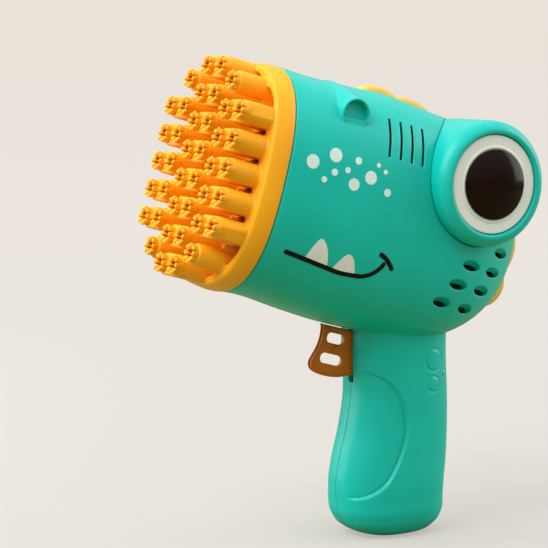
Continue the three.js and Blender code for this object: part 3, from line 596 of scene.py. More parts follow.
def seat_tools(half):
    top = np.vstack([[(69 - 0.3, 43)], crest_top_outline(0.3), [(103.8, 43)]])
    rear = crest_rear_outline(0.3)
    ends = rear[[0, -1]]
    inward = np.array([CREST_HUB_Y, 0]) - ends
    deep = ends + inward / np.linalg.norm(inward, axis=1)[:, None] * 14
    rear = np.vstack([deep[:1], rear, deep[1:]])
    return [slab_x(top, -half, half), slab_x(rear, -half, half)]


def box_tool(low, high):
    corners = [(x, y, z) for x in (low[0], high[0]) for y in (low[1], high[1]) for z in (low[2], high[2])]
    faces = [(0, 1, 3, 2), (4, 6, 7, 5), (0, 4, 5, 1), (2, 3, 7, 6), (0, 2, 6, 4), (1, 5, 7, 3)]
    return np.array(corners, float), faces


def in_toy(part):
    """A head-frame part in the toy's frame, still in millimetres."""
    turn = np.array(Matrix.Scale(1 / MM, 4) @ HEAD)
    verts = np.asarray(part[0], float)
    return list(verts @ turn[:3, :3].T + turn[:3, 3]), part[1]


def screw_sites():
    heads = [in_toy(([(0, y, z)], []))[0][0] for y, z in HEAD_SCREWS]
    return [tuple(p) for p in heads] + [(0, y, z) for y, z in HANDLE_SCREWS]


def door_outline(offset):
    y, z = (DOOR["front"] + DOOR["back"]) / 2, (DOOR["low"] + DOOR["high"]) / 2
    half_y, half_z = (DOOR["back"] - DOOR["front"]) / 2, (DOOR["high"] - DOOR["low"]) / 2
    return stadium(y, z, half_y + offset, half_z + offset, DOOR["corner"] + offset, fill=40)


def tray_room():
    """The battery tray's space, where it thins the casing's curved corners."""
    t = TRAY
    outline = stadium(0, t["y"], t["floor"], t["depth"], t["corner"], 8)
    outline[:, 0] = np.where(outline[:, 0] < 0, t["mouth"], outline[:, 0])
    rings = [np.insert(outline, 2, z, axis=1) for z in (t["low"], t["high"])]
    lip = box_tool((-15.3, t["y"] - t["lip"], t["low"]), (-10, t["y"] + t["lip"], t["high"]))
    return loft(rings), lip


def build_casing():
    """Both casing halves and the battery cover, cut from one skin."""
    outer = solid([in_toy(head_outer())])
    join(outer, [handle_outer()])
    join(outer, [in_toy(nostril_hood(s)) for s in (1, -1)])
    inner = solid([in_toy(head_inner())])
    join(inner, [handle_inner()])

    posts = solid([bar_x(-45, 45, y, z, 3.2, steps=24) for _, y, z in screw_sites()])
    boolean(posts, copy_of(outer), "INTERSECT")
    skin = boolean(outer, inner, "DIFFERENCE")
    body, lip = tray_room()
    room = join(solid([body]), [lip])
    boolean(skin, copy_of(room), "DIFFERENCE")
    door_skin = copy_of(skin)
    boolean(skin, posts, "UNION")
    boolean(skin, room, "DIFFERENCE")

    cut(skin, [in_toy(part) for s in (1, -1)
               for part in [nostril_hole(s)] + slot_tools(s) + air_hole_tools(s)])
    eye_r = POD_R + 0.35
    openings = [bar_x(s * (POD_ROOT_X - 0.5), s * 60, EYE_Y, EYE_Z, eye_r, steps=120) for s in (1, -1)]
    trigger_way = box_tool((-1.9, 84, -70.4), (1.9, 101.4, -49.05))
    cut(skin, [in_toy(p) for p in openings + seat_tools(4.75) + [trigger_way]])

    left = copy_of(skin)
    cut(left, [box_tool((-80, -200, -50), (SEAM, 200, 300))])
    right = cut(skin, [box_tool((-SEAM, -200, -50), (80, 200, 300))])
    cut(right, [bar_x(-60, -6, y, z, 2.65, steps=32) for _, y, z in screw_sites()])

    doorway = flared(lambda o: door_outline(DOOR_GAP + o), handle_x, 0.4, 12, -1)
    cut(right, [doorway])
    plug = flared(door_outline, handle_x, 0.45, 12, -1, grow=-1)
    boolean(door_skin, solid([plug]), "INTERSECT")
    y, z = DOOR_SCREW
    cut(door_skin, [bar_x(-40, 0, y, z, 1.45)])
    cut(door_skin, [bar_x(-40, -18, y, z, 2.9, 2.6)])
    return left, right, door_skin


# ---------------------------------------------------------------- prints on the face


def print_patch(yz, side, raise_by=0.07, sink=0.25):
    """A thin closed patch of ink that follows the head's side; yz is (rows, columns, 2)."""
    rows, columns = yz.shape[:2]
    y, z = yz[..., 0].ravel(), yz[..., 1].ravel()
    x = head_x(y, z)
    top = np.stack([side * (x + raise_by), y, z], 1)
    low = np.stack([side * (x - sink), y, z], 1)
    size = rows * columns
    verts = np.vstack([top, low])
    faces = []
    for r in range(rows - 1):
        for c in range(columns - 1):
            a, b = r * columns + c, (r + 1) * columns + c
            faces += [(a, a + 1, b + 1, b), (size + a, size + b, size + b + 1, size + a + 1)]
    rim = [r * columns for r in range(rows)] + [(rows - 1) * columns + c for c in range(1, columns)]
    rim += [r * columns + columns - 1 for r in range(rows - 2, -1, -1)]
    rim += list(range(columns - 2, 0, -1))
    for i, a in enumerate(rim):
        b = rim[(i + 1) % len(rim)]
        faces.append((a, b, size + b, size + a))
    return verts, faces


def disc_patch(y, z, radius, side, rings=5, around=32):
    """A thin closed round patch of ink."""
    verts, size = [], 1 + rings * around
    for lift in (0.07, -0.25):
        points = [(y, z)] + [(y + radius * k / rings * math.cos(t), z + radius * k / rings * math.sin(t))
                             for k in range(1, rings + 1)
                             for t in np.arange(around) * 2 * np.pi / around]
        points = np.array(points)
        x = head_x(points[:, 0], points[:, 1]) + lift
        verts += list(np.stack([side * x, points[:, 0], points[:, 1]], 1))
    faces = []
    for base in (0, size):
        faces += [(base, base + 1 + i, base + 1 + (i + 1) % around) for i in range(around)]
        faces += loft_faces(rings, around, base + 1)
    last = 1 + (rings - 1) * around
    for i in range(around):
        j = (i + 1) % around
        faces.append((last + i, last + j, size + last + j, size + last + i))
    return verts, faces


def stroke_grid(points, width, across=5):
    """A painted line: the curve swept by width, drawn in to a round point at both ends."""
    curve = spline(points, 8)
    step = np.hypot(*np.diff(curve, axis=0).T)
    length = np.concatenate([[0], np.cumsum(step)])
    radius = width / 2
    cap = radius * (1 - np.cos(np.linspace(0.12, np.pi / 2, 7)))
    inner = np.linspace(radius, length[-1] - radius, int(length[-1] / 0.8))
    along = np.concatenate([cap, inner[1:-1], length[-1] - cap[::-1]])
    centre = np.stack([np.interp(along, length, curve[:, k]) for k in (0, 1)], 1)
    tangent = np.gradient(centre, axis=0)
    tangent /= np.linalg.norm(tangent, axis=1)[:, None]
    normal = np.stack([-tangent[:, 1], tangent[:, 0]], 1)
    to_end = np.minimum(along, length[-1] - along)
    half = np.sqrt(np.maximum(radius ** 2 - np.maximum(radius - to_end, 0) ** 2, 0))
    share = np.linspace(-1, 1, across)
    return centre[:, None] + normal[:, None] * (half[:, None] * share)[..., None]


def tooth_grid(left, apex, right, bow, rows=14, columns=9):
    """A tooth: two bowed sides that meet in a rounded point above the base."""
    left, apex, right = (np.array(p, float) for p in (left, apex, right))
    t = np.linspace(0, 1, rows)[:, None]

    def flank(foot, lean):
        control = foot + (apex - foot) * 0.62 + np.array(lean)
        return foot * (1 - t) ** 2 + 2 * control * t * (1 - t) + apex * t * t

    a = flank(left, (-bow * 0.6, bow))
    b = flank(right, (bow, bow * 1.5))
    tip = np.array([0.55, 0.0])
    a, b = a - tip * t ** 3, b + tip * t ** 3
    share = np.linspace(0, 1, columns)[:, None]
    return np.array([p * (1 - share) + q * share for p, q in zip(a, b)])


FRECKLES = [  # y, z, radius
    (33.9, 11.1, 3.0), (43.5, 16, 3.0), (54.1, 16.3, 1.6), (50, 11.5, 1.3), (44.3, 9.3, 1.5),
    (40.4, 5.5, 1.3), (54, 6.7, 2.6), (61, 11.1, 2.9), (63.6, 16.8, 1.0), (67.3, 14.9, 1.0),
    (69.9, 7.1, 1.7)]
SMILE = [(32.3, -25.5), (42.4, -26.6), (52.9, -27.8), (59.2, -28.4), (66.5, -28), (70, -27.4),
         (73.6, -25.4), (76.1, -22.5), (77.3, -19.9)]
CHEEK = [(73.5, -17), (77.2, -18.5), (80, -20.6), (81.8, -22.4)]
LINE_WIDTH = 1.85


def build_prints(materials):
    sides = (1, -1)
    dots = solid([disc_patch(y, z, r * 0.94, s) for s in sides for y, z, r in FRECKLES])
    put(dots, "printed_freckles", HEAD, materials["ink_white"])
    teeth = [tooth_grid((42.0, -26.4), (46.3, -17.3), (52.9, -27.6), 1.6),
             tooth_grid((55.3, -27.5), (60.3, -20.5), (65.7, -27.4), 1.3)]
    put(solid([print_patch(g, s) for s in sides for g in teeth]), "printed_teeth", HEAD,
        materials["ink_tooth"])
    smile = solid([print_patch(stroke_grid(SMILE, LINE_WIDTH), s, 0.1) for s in sides])
    put(smile, "printed_smile", HEAD, materials["ink_black"])
    cheek = solid([print_patch(stroke_grid(CHEEK, LINE_WIDTH), s, 0.13) for s in sides])
    put(cheek, "printed_cheek", HEAD, materials["ink_black"])


# ---------------------------------------------------------------- nozzle


def prism(outline, levels):
    """outline(offset) gives (x, z) points; levels are (y, offset) pairs."""
    rings = []
    for y, offset in levels:
        xz = outline(offset)
        rings.append(np.stack([xz[:, 0], np.full(len(xz), y), xz[:, 1]], 1))
    return loft(rings)


def oval(half_x, half_z, steps=180):
    angles = ring_angles(half_x, half_z, ROUNDNESS, 2 * np.pi * 40 / steps, near_seam=())

    def outline(offset):
        return np.stack(superellipse(angles, half_x + offset, half_z + offset, ROUNDNESS), 1)
    return outline


def finger_outlines():
    """(middle x, row z, half length) of each finger."""
    reach = PITCH / 2 + FINGER_END
    fingers = [(0, row * PITCH, reach) for row in COLUMNS[0][1]]
    for side in (-1, 1):
        fingers += [(side * 2 * PITCH, row * PITCH, reach) for row in COLUMNS[2][1]]
        fingers += [(side * 1.5 * PITCH, row * PITCH, FINGER_END + 0.6) for row in (-3, 3)]
    return fingers


def finger_shape(x, z, half):
    """A finger's section: flat top and bottom, ends part of an ellipse."""
    def outline(offset):
        quarter = np.linspace(-np.pi / 2, np.pi / 2, 17)
        reach_z = FINGER_HALF + offset
        reach_x = min(half, FINGER_END + 0.6) + offset
        core = max(half + offset - reach_x, 0.0)
        right = np.stack([x + core + reach_x * np.cos(quarter), z + reach_z * np.sin(quarter)], 1)
        left = np.stack([x - core - reach_x * np.cos(quarter), z - reach_z * np.sin(quarter)], 1)
        if core < 1e-6:
            left = left[1:-1]
        return np.vstack([right, left])
    return outline


def round_levels(start, end, radius, grow, steps=6):
    """(y, offset) pairs of a quarter-round between two depths; grow is +1 at roots, -1 at tips."""
    turns = np.linspace(0, np.pi / 2, steps)
    if grow > 0:
        return [(start + (end - start) * math.sin(t), radius * (1 - math.cos(t))) for t in turns]
    return [(start + (end - start) * (1 - math.cos(t)), -radius * (1 - math.sin(t))) for t in turns]


def rim_ring():
    outer = oval(36.7, 46.9)
    back = RIM_BACK_Y
    # rounded front corner, drafted side, rounded back corner
    levels = [(RIM_FRONT_Y, -3.6), (RIM_FRONT_Y, -2.6), (RIM_FRONT_Y + 0.15, -1.95),
              (RIM_FRONT_Y + 0.45, -1.5), (RIM_FRONT_Y + 0.9, -1.2), (RIM_FRONT_Y + 1.6, -1.0),
              (19.5, -0.5), (back - 0.5, -0.02), (back - 0.2, -0.12), (back, -0.4), (back, -2.7),
              (30, -2.7)]
    return prism(outer, levels)


def recess_tools():
    """The pockets between the fingers: a wide middle, a narrower top and bottom, four corners."""
    edge = [(RIM_FRONT_Y - 1, 0.75), (RIM_FRONT_Y - 0.1, 0.62), (RIM_FRONT_Y + 0.25, 0.3),
            (RIM_FRONT_Y + 0.8, 0.08), (RIM_FRONT_Y + 1.5, 0), (FLOOR_Y, -0.25)]
    wide = prism(lambda o: stadium(0, 0, 27.3 + o, 28 + o, 3 + o), edge)
    tall = prism(lambda o: stadium(0, 0, 17 + o, 41.6 + o, 9 + o), edge)
    corners = []
    for sx in (-1, 1):
        for sz in (-1, 1):
            points = spline([(19.9, 27), (24, 25), (29.6, 24.2), (30.3, 25.6), (28.9, 28.5),
                             (26.6, 31.6), (24.2, 34), (22.2, 35.3), (20.5, 35), (19.8, 33.3)],
                            4, closed=True)
            centre = points.mean(0)

            def outline(o, points=points, centre=centre, sx=sx, sz=sz):
                away = points - centre
                grown = centre + away * (1 + o / np.linalg.norm(away, axis=1))[:, None]
                return grown * (sx, sz)

            corners.append(prism(outline, edge))
    return wide, tall, corners


def crown(x, z):
    """A daisy of eight rounded petals round a star-shaped bore, as one closed band."""
    petals, per_petal = 8, 12
    angle = np.arange(petals * per_petal) * 2 * np.pi / (petals * per_petal)
    phase = np.abs(np.cos(angle * petals / 2))  # 1 in the middle of a petal, 0 in a slit
    lobe = phase ** 0.38
    slit = np.exp(-(phase / 0.42) ** 2)
    levels = []
    outer_r = 3.2 + 0.75 * lobe
    inner_r = 1.95 + 1.15 * slit
    # outside from the base up, over the rounded petal tops, and down the bore
    for y, share in ((CROWN_BASE_Y + 0.7, 0.0), (CROWN_BASE_Y, 0.0), (2.4, 0.2), (1.5, 0.6), (0.8, 0.92),
                     (0.45, 1.0), (0.2, 0.97)):
        base = 3.55
        levels.append((y, base + (outer_r - base) * share))
    for y, share in ((0.05, 0.14), (0.0, 0.32), (0.06, 0.56), (0.3, 0.8)):
        levels.append((y, outer_r + (inner_r - outer_r) * share))
    for y, share in ((0.75, 1.0), (1.6, 1.0), (2.6, 0.75), (CROWN_BASE_Y + 0.7, 0.0)):
        levels.append((y, 1.9 + (inner_r - 1.9) * share))
    rings = []
    for y, r in levels:
        r = np.broadcast_to(r, angle.shape)
        depth = y + slit * max(0.0, 1.9 - y)
        rings.append(np.stack([x + r * np.cos(angle), depth + 0 * angle, z + r * np.sin(angle)], 1))
    return loft_loop(rings)


def tube_centres():
    return [(side * column * PITCH, row * PITCH) for column, rows in COLUMNS for row in rows
            for side in (-1, 1)]


def peg(x, z):
    levels = [(FLOOR_Y + 0.3, 1.25), (FLOOR_Y - 1.6, 1.1), (FLOOR_Y - 2.5, 0.95), (FLOOR_Y - 2.9, 0.7),
              (FLOOR_Y - 3.1, 0.3)]
    return prism(lambda r: ellipse(x, z, r, r, 20), levels)


def bar_y(y0, y1, x, z, radius, steps=24):
    return prism(lambda o: ellipse(x, z, radius, radius, steps), [(y0, 0), (y1, 0)])


def build_nozzle(materials):
    ring = solid([rim_ring()])
    root = 1.15
    shapes = [finger_shape(*f) for f in finger_outlines()]
    collars = solid([prism(s, [(RIM_FRONT_Y - root - 1, -0.4)]
                           + round_levels(RIM_FRONT_Y - root, RIM_FRONT_Y, root, 1)
                           + [(RIM_FRONT_Y + 2, root)]) for s in shapes])
    boolean(collars, solid([prism(oval(34.2, 44.4), [(0, 0), (30, 0)])]), "INTERSECT")
    boolean(ring, collars, "UNION")
    wide, tall, corners = recess_tools()
    for tool in ([wide], [tall], corners):
        cut(ring, tool)

    foot = 0.6
    fingers = solid([prism(s, round_levels(CROWN_BASE_Y - 0.4, CROWN_BASE_Y + 0.7, 1.0, -1)
                           + [(FLOOR_Y - foot, 0.0)] + round_levels(FLOOR_Y - foot, FLOOR_Y, foot, 1)[1:]
                           + [(FLOOR_Y + 0.5, foot)]) for s in shapes])
    boolean(fingers, solid([prism(oval(34.6, 45.2), [(0, 0), (30, 0)])]), "INTERSECT")
    boolean(ring, fingers, "UNION")
    pegs = [(sx * x, z * PITCH / 2) for sx in (-1, 1) for z in (-3, -1, 1, 3) for x in (12.6, 18.4)]
    pegs += [(sx * 11.8, z * PITCH / 2) for sx in (-1, 1) for z in (-5, 5)]
    join(ring, [peg(x, z) for x, z in pegs])
    cut(ring, [prism(oval(32.5, 41.7), [(FLOOR_Y + 2.3, 0), (31, 0)])])
    cut(ring, [bar_y(-1, FLOOR_Y + 4, x, z, 1.9) for x, z in tube_centres()])
    join(ring, [crown(x, z) for x, z in tube_centres()])
    put(ring, "nozzle_moulding", HEAD, materials["yellow"], replaces=["nozzle"])


# ---------------------------------------------------------------- eyes, crests


def turned_x(profile, y, z, side, steps=160, closed=False):
    """A turned piece about the x axis of (y, z): profile points are (x, radius)."""
    rings = [across(ellipse(y, z, max(r, 1e-4), max(r, 1e-4), steps), side * x) for x, r in profile]
    return loft_loop(rings) if closed else loft(rings)


def pod_profile():
    rim = spline([(38, POD_R), (40.6, POD_R - 0.02), (42.4, 25.7), (43.9, 25.0), (45.1, 24.0), (45.9, 22.9),
                  (46.2, 22.0), (46.15, 21.3), (45.8, 20.8), (45.3, 20.62), (44.6, 20.6)], 5)
    return [(POD_ROOT_X, 24), (POD_ROOT_X, POD_R - 0.4), (POD_ROOT_X + 0.4, POD_R)] + list(rim) + [
        (43.7, 20.6), (43.7, 8), (43.7, 0.01), (42, 0.01), (42, 22.3), (40, 24)]


def white_profile():
    lip = [(45.1, PUPIL_R + 1.5), (45.35, PUPIL_R + 1.3), (45.45, PUPIL_R + 0.9), (45.4, PUPIL_R + 0.5),
           (45.1, PUPIL_R + 0.35)]
    return [(43.9, 0), (43.9, 20.2), (44.7, 20.2), (44.95, 20.1), (45.08, 19.9), (45.1, 19.5)] + lip + [
        (45.1, 0)]


def pupil_profile():
    radii = PUPIL_R * np.sin(np.linspace(0, np.pi / 2, 26))[::-1]
    dome = [(48 - 2.2 * (r / PUPIL_R) ** 2.6, r) for r in radii]
    return [(45.2, 0), (45.2, PUPIL_R - 0.05), (45.5, PUPIL_R)] + dome


def build_eyes(materials):
    for side, name in ((1, "left"), (-1, "right")):
        pod = solid([turned_x(pod_profile(), EYE_Y, EYE_Z, side, closed=True)])
        put(pod, f"pod_{name}", HEAD, materials["teal"], replaces=[f"eye_pod_{name}"])
        white = solid([turned_x(white_profile(), EYE_Y, EYE_Z, side)])
        put(white, f"eye_disc_{name}", HEAD, materials["white"],
            replaces=[f"eye_white_{name}"])
        dome = solid([turned_x(pupil_profile(), EYE_Y, EYE_Z, side)])
        put(dome, f"pupil_dome_{name}", HEAD, materials["pupil"], replaces=[f"pupil_{name}"])


def crest(outline, root, half_width=4.5):
    """A row of soft bumps: the side outline drawn down to root along a rounded section."""
    turns = np.linspace(-np.pi / 2, np.pi / 2, 25)
    across, height = superellipse(turns, 1, 1, 3.4)
    rows = []
    for peak, foot in zip(outline, root):
        # superellipse() gives (cos, sin): height over the root from cos, side from sin
        yz = foot + (peak - foot) * across[:, None]
        rows.append(np.stack([half_width * height, yz[:, 0], yz[:, 1]], 1))
    return loft(rows)


def build_crests(materials):
    top = crest_top_outline(-0.04)
    root = np.stack([np.clip(top[:, 0], 70, 102.5), np.full(len(top), 44.6)], 1)
    put(solid([crest(top, root)]), "crest_top_bumps", HEAD, materials["crest"],
        replaces=["crest_top"])
    rear = crest_rear_outline(-0.04)
    out = rear - (CREST_HUB_Y, 0)
    angle = np.arctan2(out[:, 1], out[:, 0])
    reach = np.minimum(np.hypot(out[:, 0], out[:, 1]) - 7, 36.5)
    root = (CREST_HUB_Y, 0) + np.stack([reach * np.cos(angle), reach * np.sin(angle)], 1)
    put(solid([crest(rear, root)]), "crest_rear_bumps", HEAD, materials["crest"],
        replaces=["crest_rear"])


# ---------------------------------------------------------------- trigger, springs, screws, cells


def trigger_outline():
    front = spline([(78.3, -49.3), (79, -53.1), (78.9, -57.4), (78, -61), (76.8, -64.4), (76.5, -66.5),
                    (77.7, -68.6), (80.5, -69.8), (85.2, -70.3), (91.1, -69.7), (97.4, -67.7)], 5)
    return np.vstack([front, [(99.6, -66.4), (100, -65), (100, -50), (99.4, -49.3)]])


def inset(outline, amount):
    """A closed outline drawn in along its own normals."""
    along = np.roll(outline, -1, axis=0) - np.roll(outline, 1, axis=0)
    along /= np.linalg.norm(along, axis=1)[:, None]
    normal = np.stack([-along[:, 1], along[:, 0]], 1)
    y, z = outline[:, 0], outline[:, 1]
    turn = np.sum(y * np.roll(z, -1) - z * np.roll(y, -1))
    return outline + normal * amount * np.sign(turn)


def build_trigger(materials):
    outline = trigger_outline()
    rings = []
    for side in (-1, 1):
        turns = np.linspace(0, np.pi / 2, 6)
        for turn in turns if side < 0 else turns[::-1]:
            x = side * (TRIGGER_HALF - TRIGGER_EDGE * (1 - math.sin(turn)))
            rings.append(across(inset(outline, TRIGGER_EDGE * (1 - math.cos(turn))), x))
    blade = solid([loft(rings)])
    for y, z, half_y in TRIGGER_WINDOWS:
        rings = []
        for x, offset in TRIGGER_MOUTH + [(-x, offset) for x, offset in TRIGGER_MOUTH[::-1]]:
            yz = stadium(y, z, half_y + offset, 2.15 + offset, 1.8 + offset)
            rings.append(across(yz, x))
        cut(blade, [loft(rings)])
    join(blade, [box_tool((-6, 99.6, -62), (6, 101.6, -50))])
    put(blade, "trigger_blade", HEAD, materials["amber"], "trigger",
        replaces=["trigger"])


def coil(radius, wire, start, end, turns, along="y", centre=(0.0, 0.0), per_turn=28, sides=10):
    """A helical spring with closed ends; centre is its axis in the other two directions."""
    count = int(turns * per_turn)
    t = np.arange(count + 1) / count
    angle = 2 * np.pi * turns * t
    path = np.stack([radius * np.cos(angle), start + (end - start) * t, radius * np.sin(angle)], 1)
    tangent = np.gradient(path, axis=0)
    tangent /= np.linalg.norm(tangent, axis=1)[:, None]
    outward = np.stack([np.cos(angle), 0 * angle, np.sin(angle)], 1)
    up = np.cross(tangent, outward)
    turn = np.arange(sides) * 2 * np.pi / sides
    rings = (path[:, None] + wire * (np.cos(turn)[None, :, None] * outward[:, None]
                                     + np.sin(turn)[None, :, None] * up[:, None]))
    if along == "y":
        rings = rings + np.array([centre[0], 0, centre[1]])
    else:
        rings = rings[..., [0, 2, 1]] + np.array([centre[0], centre[1], 0])
    return loft(rings)


def build_trigger_spring(materials):
    s = SPRING
    spring = solid([coil(s["radius"], s["wire"], s["front"] + s["wire"], s["back"] - s["wire"], s["turns"],
                         centre=(0, SWITCH_Z))])
    put(spring, "return_spring", HEAD, materials["steel"], replaces=["trigger_spring"],
        sharp=60)
    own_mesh(spring)


def screw_mesh(head_r, head_x, tip_x, shank_r):
    """A pan-head screw along x with a cross recess, its head facing -x."""
    dome = [(head_x - 0.1, 0), (head_x - 0.1, head_r), (head_x - 1.1, head_r), (head_x - 1.5, head_r * 0.85),
            (head_x - 1.75, head_r * 0.55), (head_x - 1.8, 0)]
    head = solid([turned_x(dome, 0, 0, 1, 32)])
    thread = []
    for i, x in enumerate(np.arange(head_x - 0.3, tip_x - 1.2, 0.45)):
        thread.append((x, shank_r * (0.72 if i % 2 else 1.0)))
    join(head, [turned_x([(head_x - 0.5, 0)] + thread + [(tip_x, 0)], 0, 0, 1, 20)])
    arm, reach = 0.32, head_r * 0.62
    for half_y, half_z in ((arm, reach), (reach, arm)):
        cut(head, [box_tool((head_x - 2.5, -half_y, -half_z), (head_x - 0.9, half_y, half_z))])
    return head


def build_screws(materials):
    first = screw_mesh(2.3, -6, 8, 1.2)
    for i, (_, y, z) in enumerate(screw_sites()):
        one = copy_of(first)
        one.data.transform(Matrix.Translation((0, y, z)))
        put(one, f"casing_screw_{i + 1}", TOY, materials["steel"],
            replaces=[f"shell_screw_{i + 1}"], sharp=45)
    bpy.data.objects.remove(first)
    last = screw_mesh(2.2, -18.1, -10.4, 1.05)
    last.data.transform(Matrix.Translation((0, *DOOR_SCREW)))
    put(last, "cover_screw", TOY, materials["steel"], "battery_cover",
        replaces=["battery_cover_screw"], sharp=45)


def build_cells(materials):
    for i in range(1, 5):
        low, high = (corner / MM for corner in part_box(f"battery_{i}"))
        x, y = (low.x + high.x) / 2, (low.y + high.y) / 2
        nub_up = i in (1, 3)
        radius = 7.1
        can, nub = 49.2, 1.2
        profile = [(0, 0), (0, 5.2), (0.15, 5.8), (0.15, 6.5), (0.35, 6.9), (0.8, radius),
                   (can - 1.6, radius), (can - 1.1, 6.85), (can - 0.9, 6.85), (can - 0.5, 6.6),
                   (can - 0.3, 6.1), (can - 0.3, 3.0), (can, 2.75), (can + nub - 0.3, 2.7),
                   (can + nub, 2.4), (can + nub, 0)]
        rings = []
        for along, r in profile:
            height = low.z + along if nub_up else high.z - along
            xy = ellipse(x, y, max(r, 1e-4), max(r, 1e-4), 64)
            rings.append(np.stack([xy[:, 0], xy[:, 1], np.full(len(xy), height)], 1))
        cell = solid([loft(rings)])
        cell.data.materials.append(materials["steel"])
        cell.data.materials.append(materials["jacket"])
        jacket_low, jacket_high = 0.6, can - 1.3
        for face in cell.data.polygons:
            along = face.center.z - low.z if nub_up else high.z - face.center.z
            off_axis = math.hypot(face.center.x - x, face.center.y - y)
            if jacket_low < along < jacket_high and off_axis > 6.5:
                face.material_index = 1
        put(cell, f"cell_{i}", TOY, None, replaces=[f"battery_{i}"])
        low, high = (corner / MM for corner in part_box(f"contact_spring_{i}"))
        x, y = (low.x + high.x) / 2, (low.y + high.y) / 2
        spring = solid([coil(4, 0.35, low.z + 0.4, high.z - 0.4, 2.5, "z", (x, y))])
        put(spring, f"cell_spring_{i}", TOY, materials["steel"],
            replaces=[f"contact_spring_{i}"], sharp=60)


# ---------------------------------------------------------------- materials


def linear(red, green, blue):
    """0-255 display values as scene-linear ones."""
    return tuple((c / 255 / 12.92) if c <= 10 else ((c / 255 + 0.055) / 1.055) ** 2.4
                 for c in (red, green, blue)) + (1.0,)


class Nodes:
    """A material's node tree, with short calls to add and join nodes."""

    def __init__(self, name):
        self.material = bpy.data.materials.new(name)
        self.material.use_nodes = True
        self.tree = self.material.node_tree
        self.shader = self.tree.nodes["Principled BSDF"]
        coordinates = self.tree.nodes.new("ShaderNodeTexCoord")
        self.place = coordinates.outputs["Object"]

    def add(self, kind, **values):
        node = self.tree.nodes.new(kind)
        for key, value in values.items():
            if hasattr(node, key):
                setattr(node, key, value)
            else:
                node.inputs[key.replace("_", " ")].default_value = value
        return node

    def link(self, output, target):
        self.tree.links.new(output, target)

    def noise(self, scale, detail, stretch=None):
        node = self.add("ShaderNodeTexNoise", Scale=scale, Detail=detail)
        source = self.place
        if stretch is not None:
            mapping = self.add("ShaderNodeMapping", Scale=stretch)
            self.link(self.place, mapping.inputs["Vector"])
            source = mapping.outputs["Vector"]
        self.link(source, node.inputs["Vector"])
        return node.outputs["Fac"]

    def remap(self, source, low, high, from_low=0.0, from_high=1.0):
        node = self.add("ShaderNodeMapRange", From_Min=from_low, From_Max=from_high, To_Min=low,
                        To_Max=high)
        self.link(source, node.inputs["Value"])
        return node.outputs["Result"]

    def mix(self, factor, first, second):
        node = self.add("ShaderNodeMix", data_type="RGBA")
        for value, index in ((factor, 0), (first, 6), (second, 7)):
            if hasattr(value, "links"):
                self.link(value, node.inputs[index])
            else:
                node.inputs[index].default_value = value
        return node.outputs[2]

    def bump(self, height, strength, distance, normal=None):
        """Bump from a height, over another normal if given; distance in millimetres."""
        node = self.add("ShaderNodeBump", Strength=strength, Distance=distance * MM)
        self.link(height, node.inputs["Height"])
        if normal:
            self.link(normal, node.inputs["Normal"])
        return node.outputs["Normal"]

    def shaded(self, colour, value):
        """A colour whose brightness follows value."""
        node = self.add("ShaderNodeHueSaturation", Color=colour)
        self.link(value, node.inputs["Value"])
        return node.outputs["Color"]

    def finish(self, **values):
        """Sets inputs of the material's shader to values or joins them to outputs."""
        for key, value in values.items():
            target = self.shader.inputs[key.replace("_", " ")]
            if hasattr(value, "links"):
                self.link(value, target)
            else:
                target.default_value = value
        return self.material

    def maths(self, operation, first, second):
        node = self.add("ShaderNodeMath", operation=operation)
        for value, index in ((first, 0), (second, 1)):
            if hasattr(value, "links"):
                self.link(value, node.inputs[index])
            else:
                node.inputs[index].default_value = value
        return node.outputs[0]


def scaled(colour, factor):
    return tuple(min(c * factor, 1.0) for c in colour[:3]) + (1.0,)


# reach of the ambient occlusion that lays painted shade into narrow gaps
PAINTED_SHADE_REACH = 2.6 * MM


def moulded(name, colour, roughness=0.34, edge=0.25, grain=0.35, mottle=0.05, wear=0.35, shine=0.3,
            glow=0.0, painted_crevice_shade=None):
    """Injection-moulded plastic: faint flow marks, a fine matt grain, and rounded edges that turn
    paler, partly as wear and partly as painted highlight.

    The colour given for narrow gaps is painted shade, mixed in where ambient occlusion finds them."""
    n = Nodes(name)
    tint = n.shaded(colour, n.remap(n.noise(28, 3), 1 - mottle, 1 + mottle, 0.3, 0.7))
    bevel = n.add("ShaderNodeBevel", samples=4, Radius=edge * MM)
    geometry = n.add("ShaderNodeNewGeometry")
    facing = n.add("ShaderNodeVectorMath", operation="DOT_PRODUCT")
    n.link(bevel.outputs["Normal"], facing.inputs[0])
    n.link(geometry.outputs["Normal"], facing.inputs[1])
    # edges turn paler and rougher: partly wear, partly painted highlight
    edge_mask = n.remap(facing.outputs["Value"], 1.0, 0.0, 0.82, 0.995)
    patchy = n.remap(n.noise(160, 3), 0.2, 1.0, 0.35, 0.65)
    edge_wear_and_highlight = n.maths("MULTIPLY", n.maths("MULTIPLY", edge_mask, patchy), wear)
    pale = tuple(0.45 + 0.55 * c for c in colour[:3]) + (1.0,)
    surface = n.mix(edge_wear_and_highlight, tint, pale)
    if painted_crevice_shade:
        # painted shade: the colour darkens towards a deep tone where ambient occlusion finds narrow gaps
        crevice_occlusion = n.add("ShaderNodeAmbientOcclusion", samples=6, Distance=PAINTED_SHADE_REACH)
        surface = n.mix(n.remap(crevice_occlusion.outputs["AO"], 1.0, 0.0, 0.12, 0.55), surface, painted_crevice_shade)

    rough = n.remap(n.noise(420, 2), roughness - 0.05, roughness + 0.07, 0.3, 0.7)
    wave = n.bump(n.noise(60, 1), 0.25, 0.12, bevel.outputs["Normal"])
    if glow:
        n.finish(Subsurface_Weight=glow, Subsurface_Radius=(0.6, 0.35, 0.12), Subsurface_Scale=2 * MM)
    return n.finish(Base_Color=surface, IOR=1.5, Specular_IOR_Level=shine,
                    Roughness=n.maths("ADD", rough, n.maths("MULTIPLY", edge_wear_and_highlight, 0.15)),
                    Normal=n.bump(n.noise(2600, 2), grain, 0.02, wave))


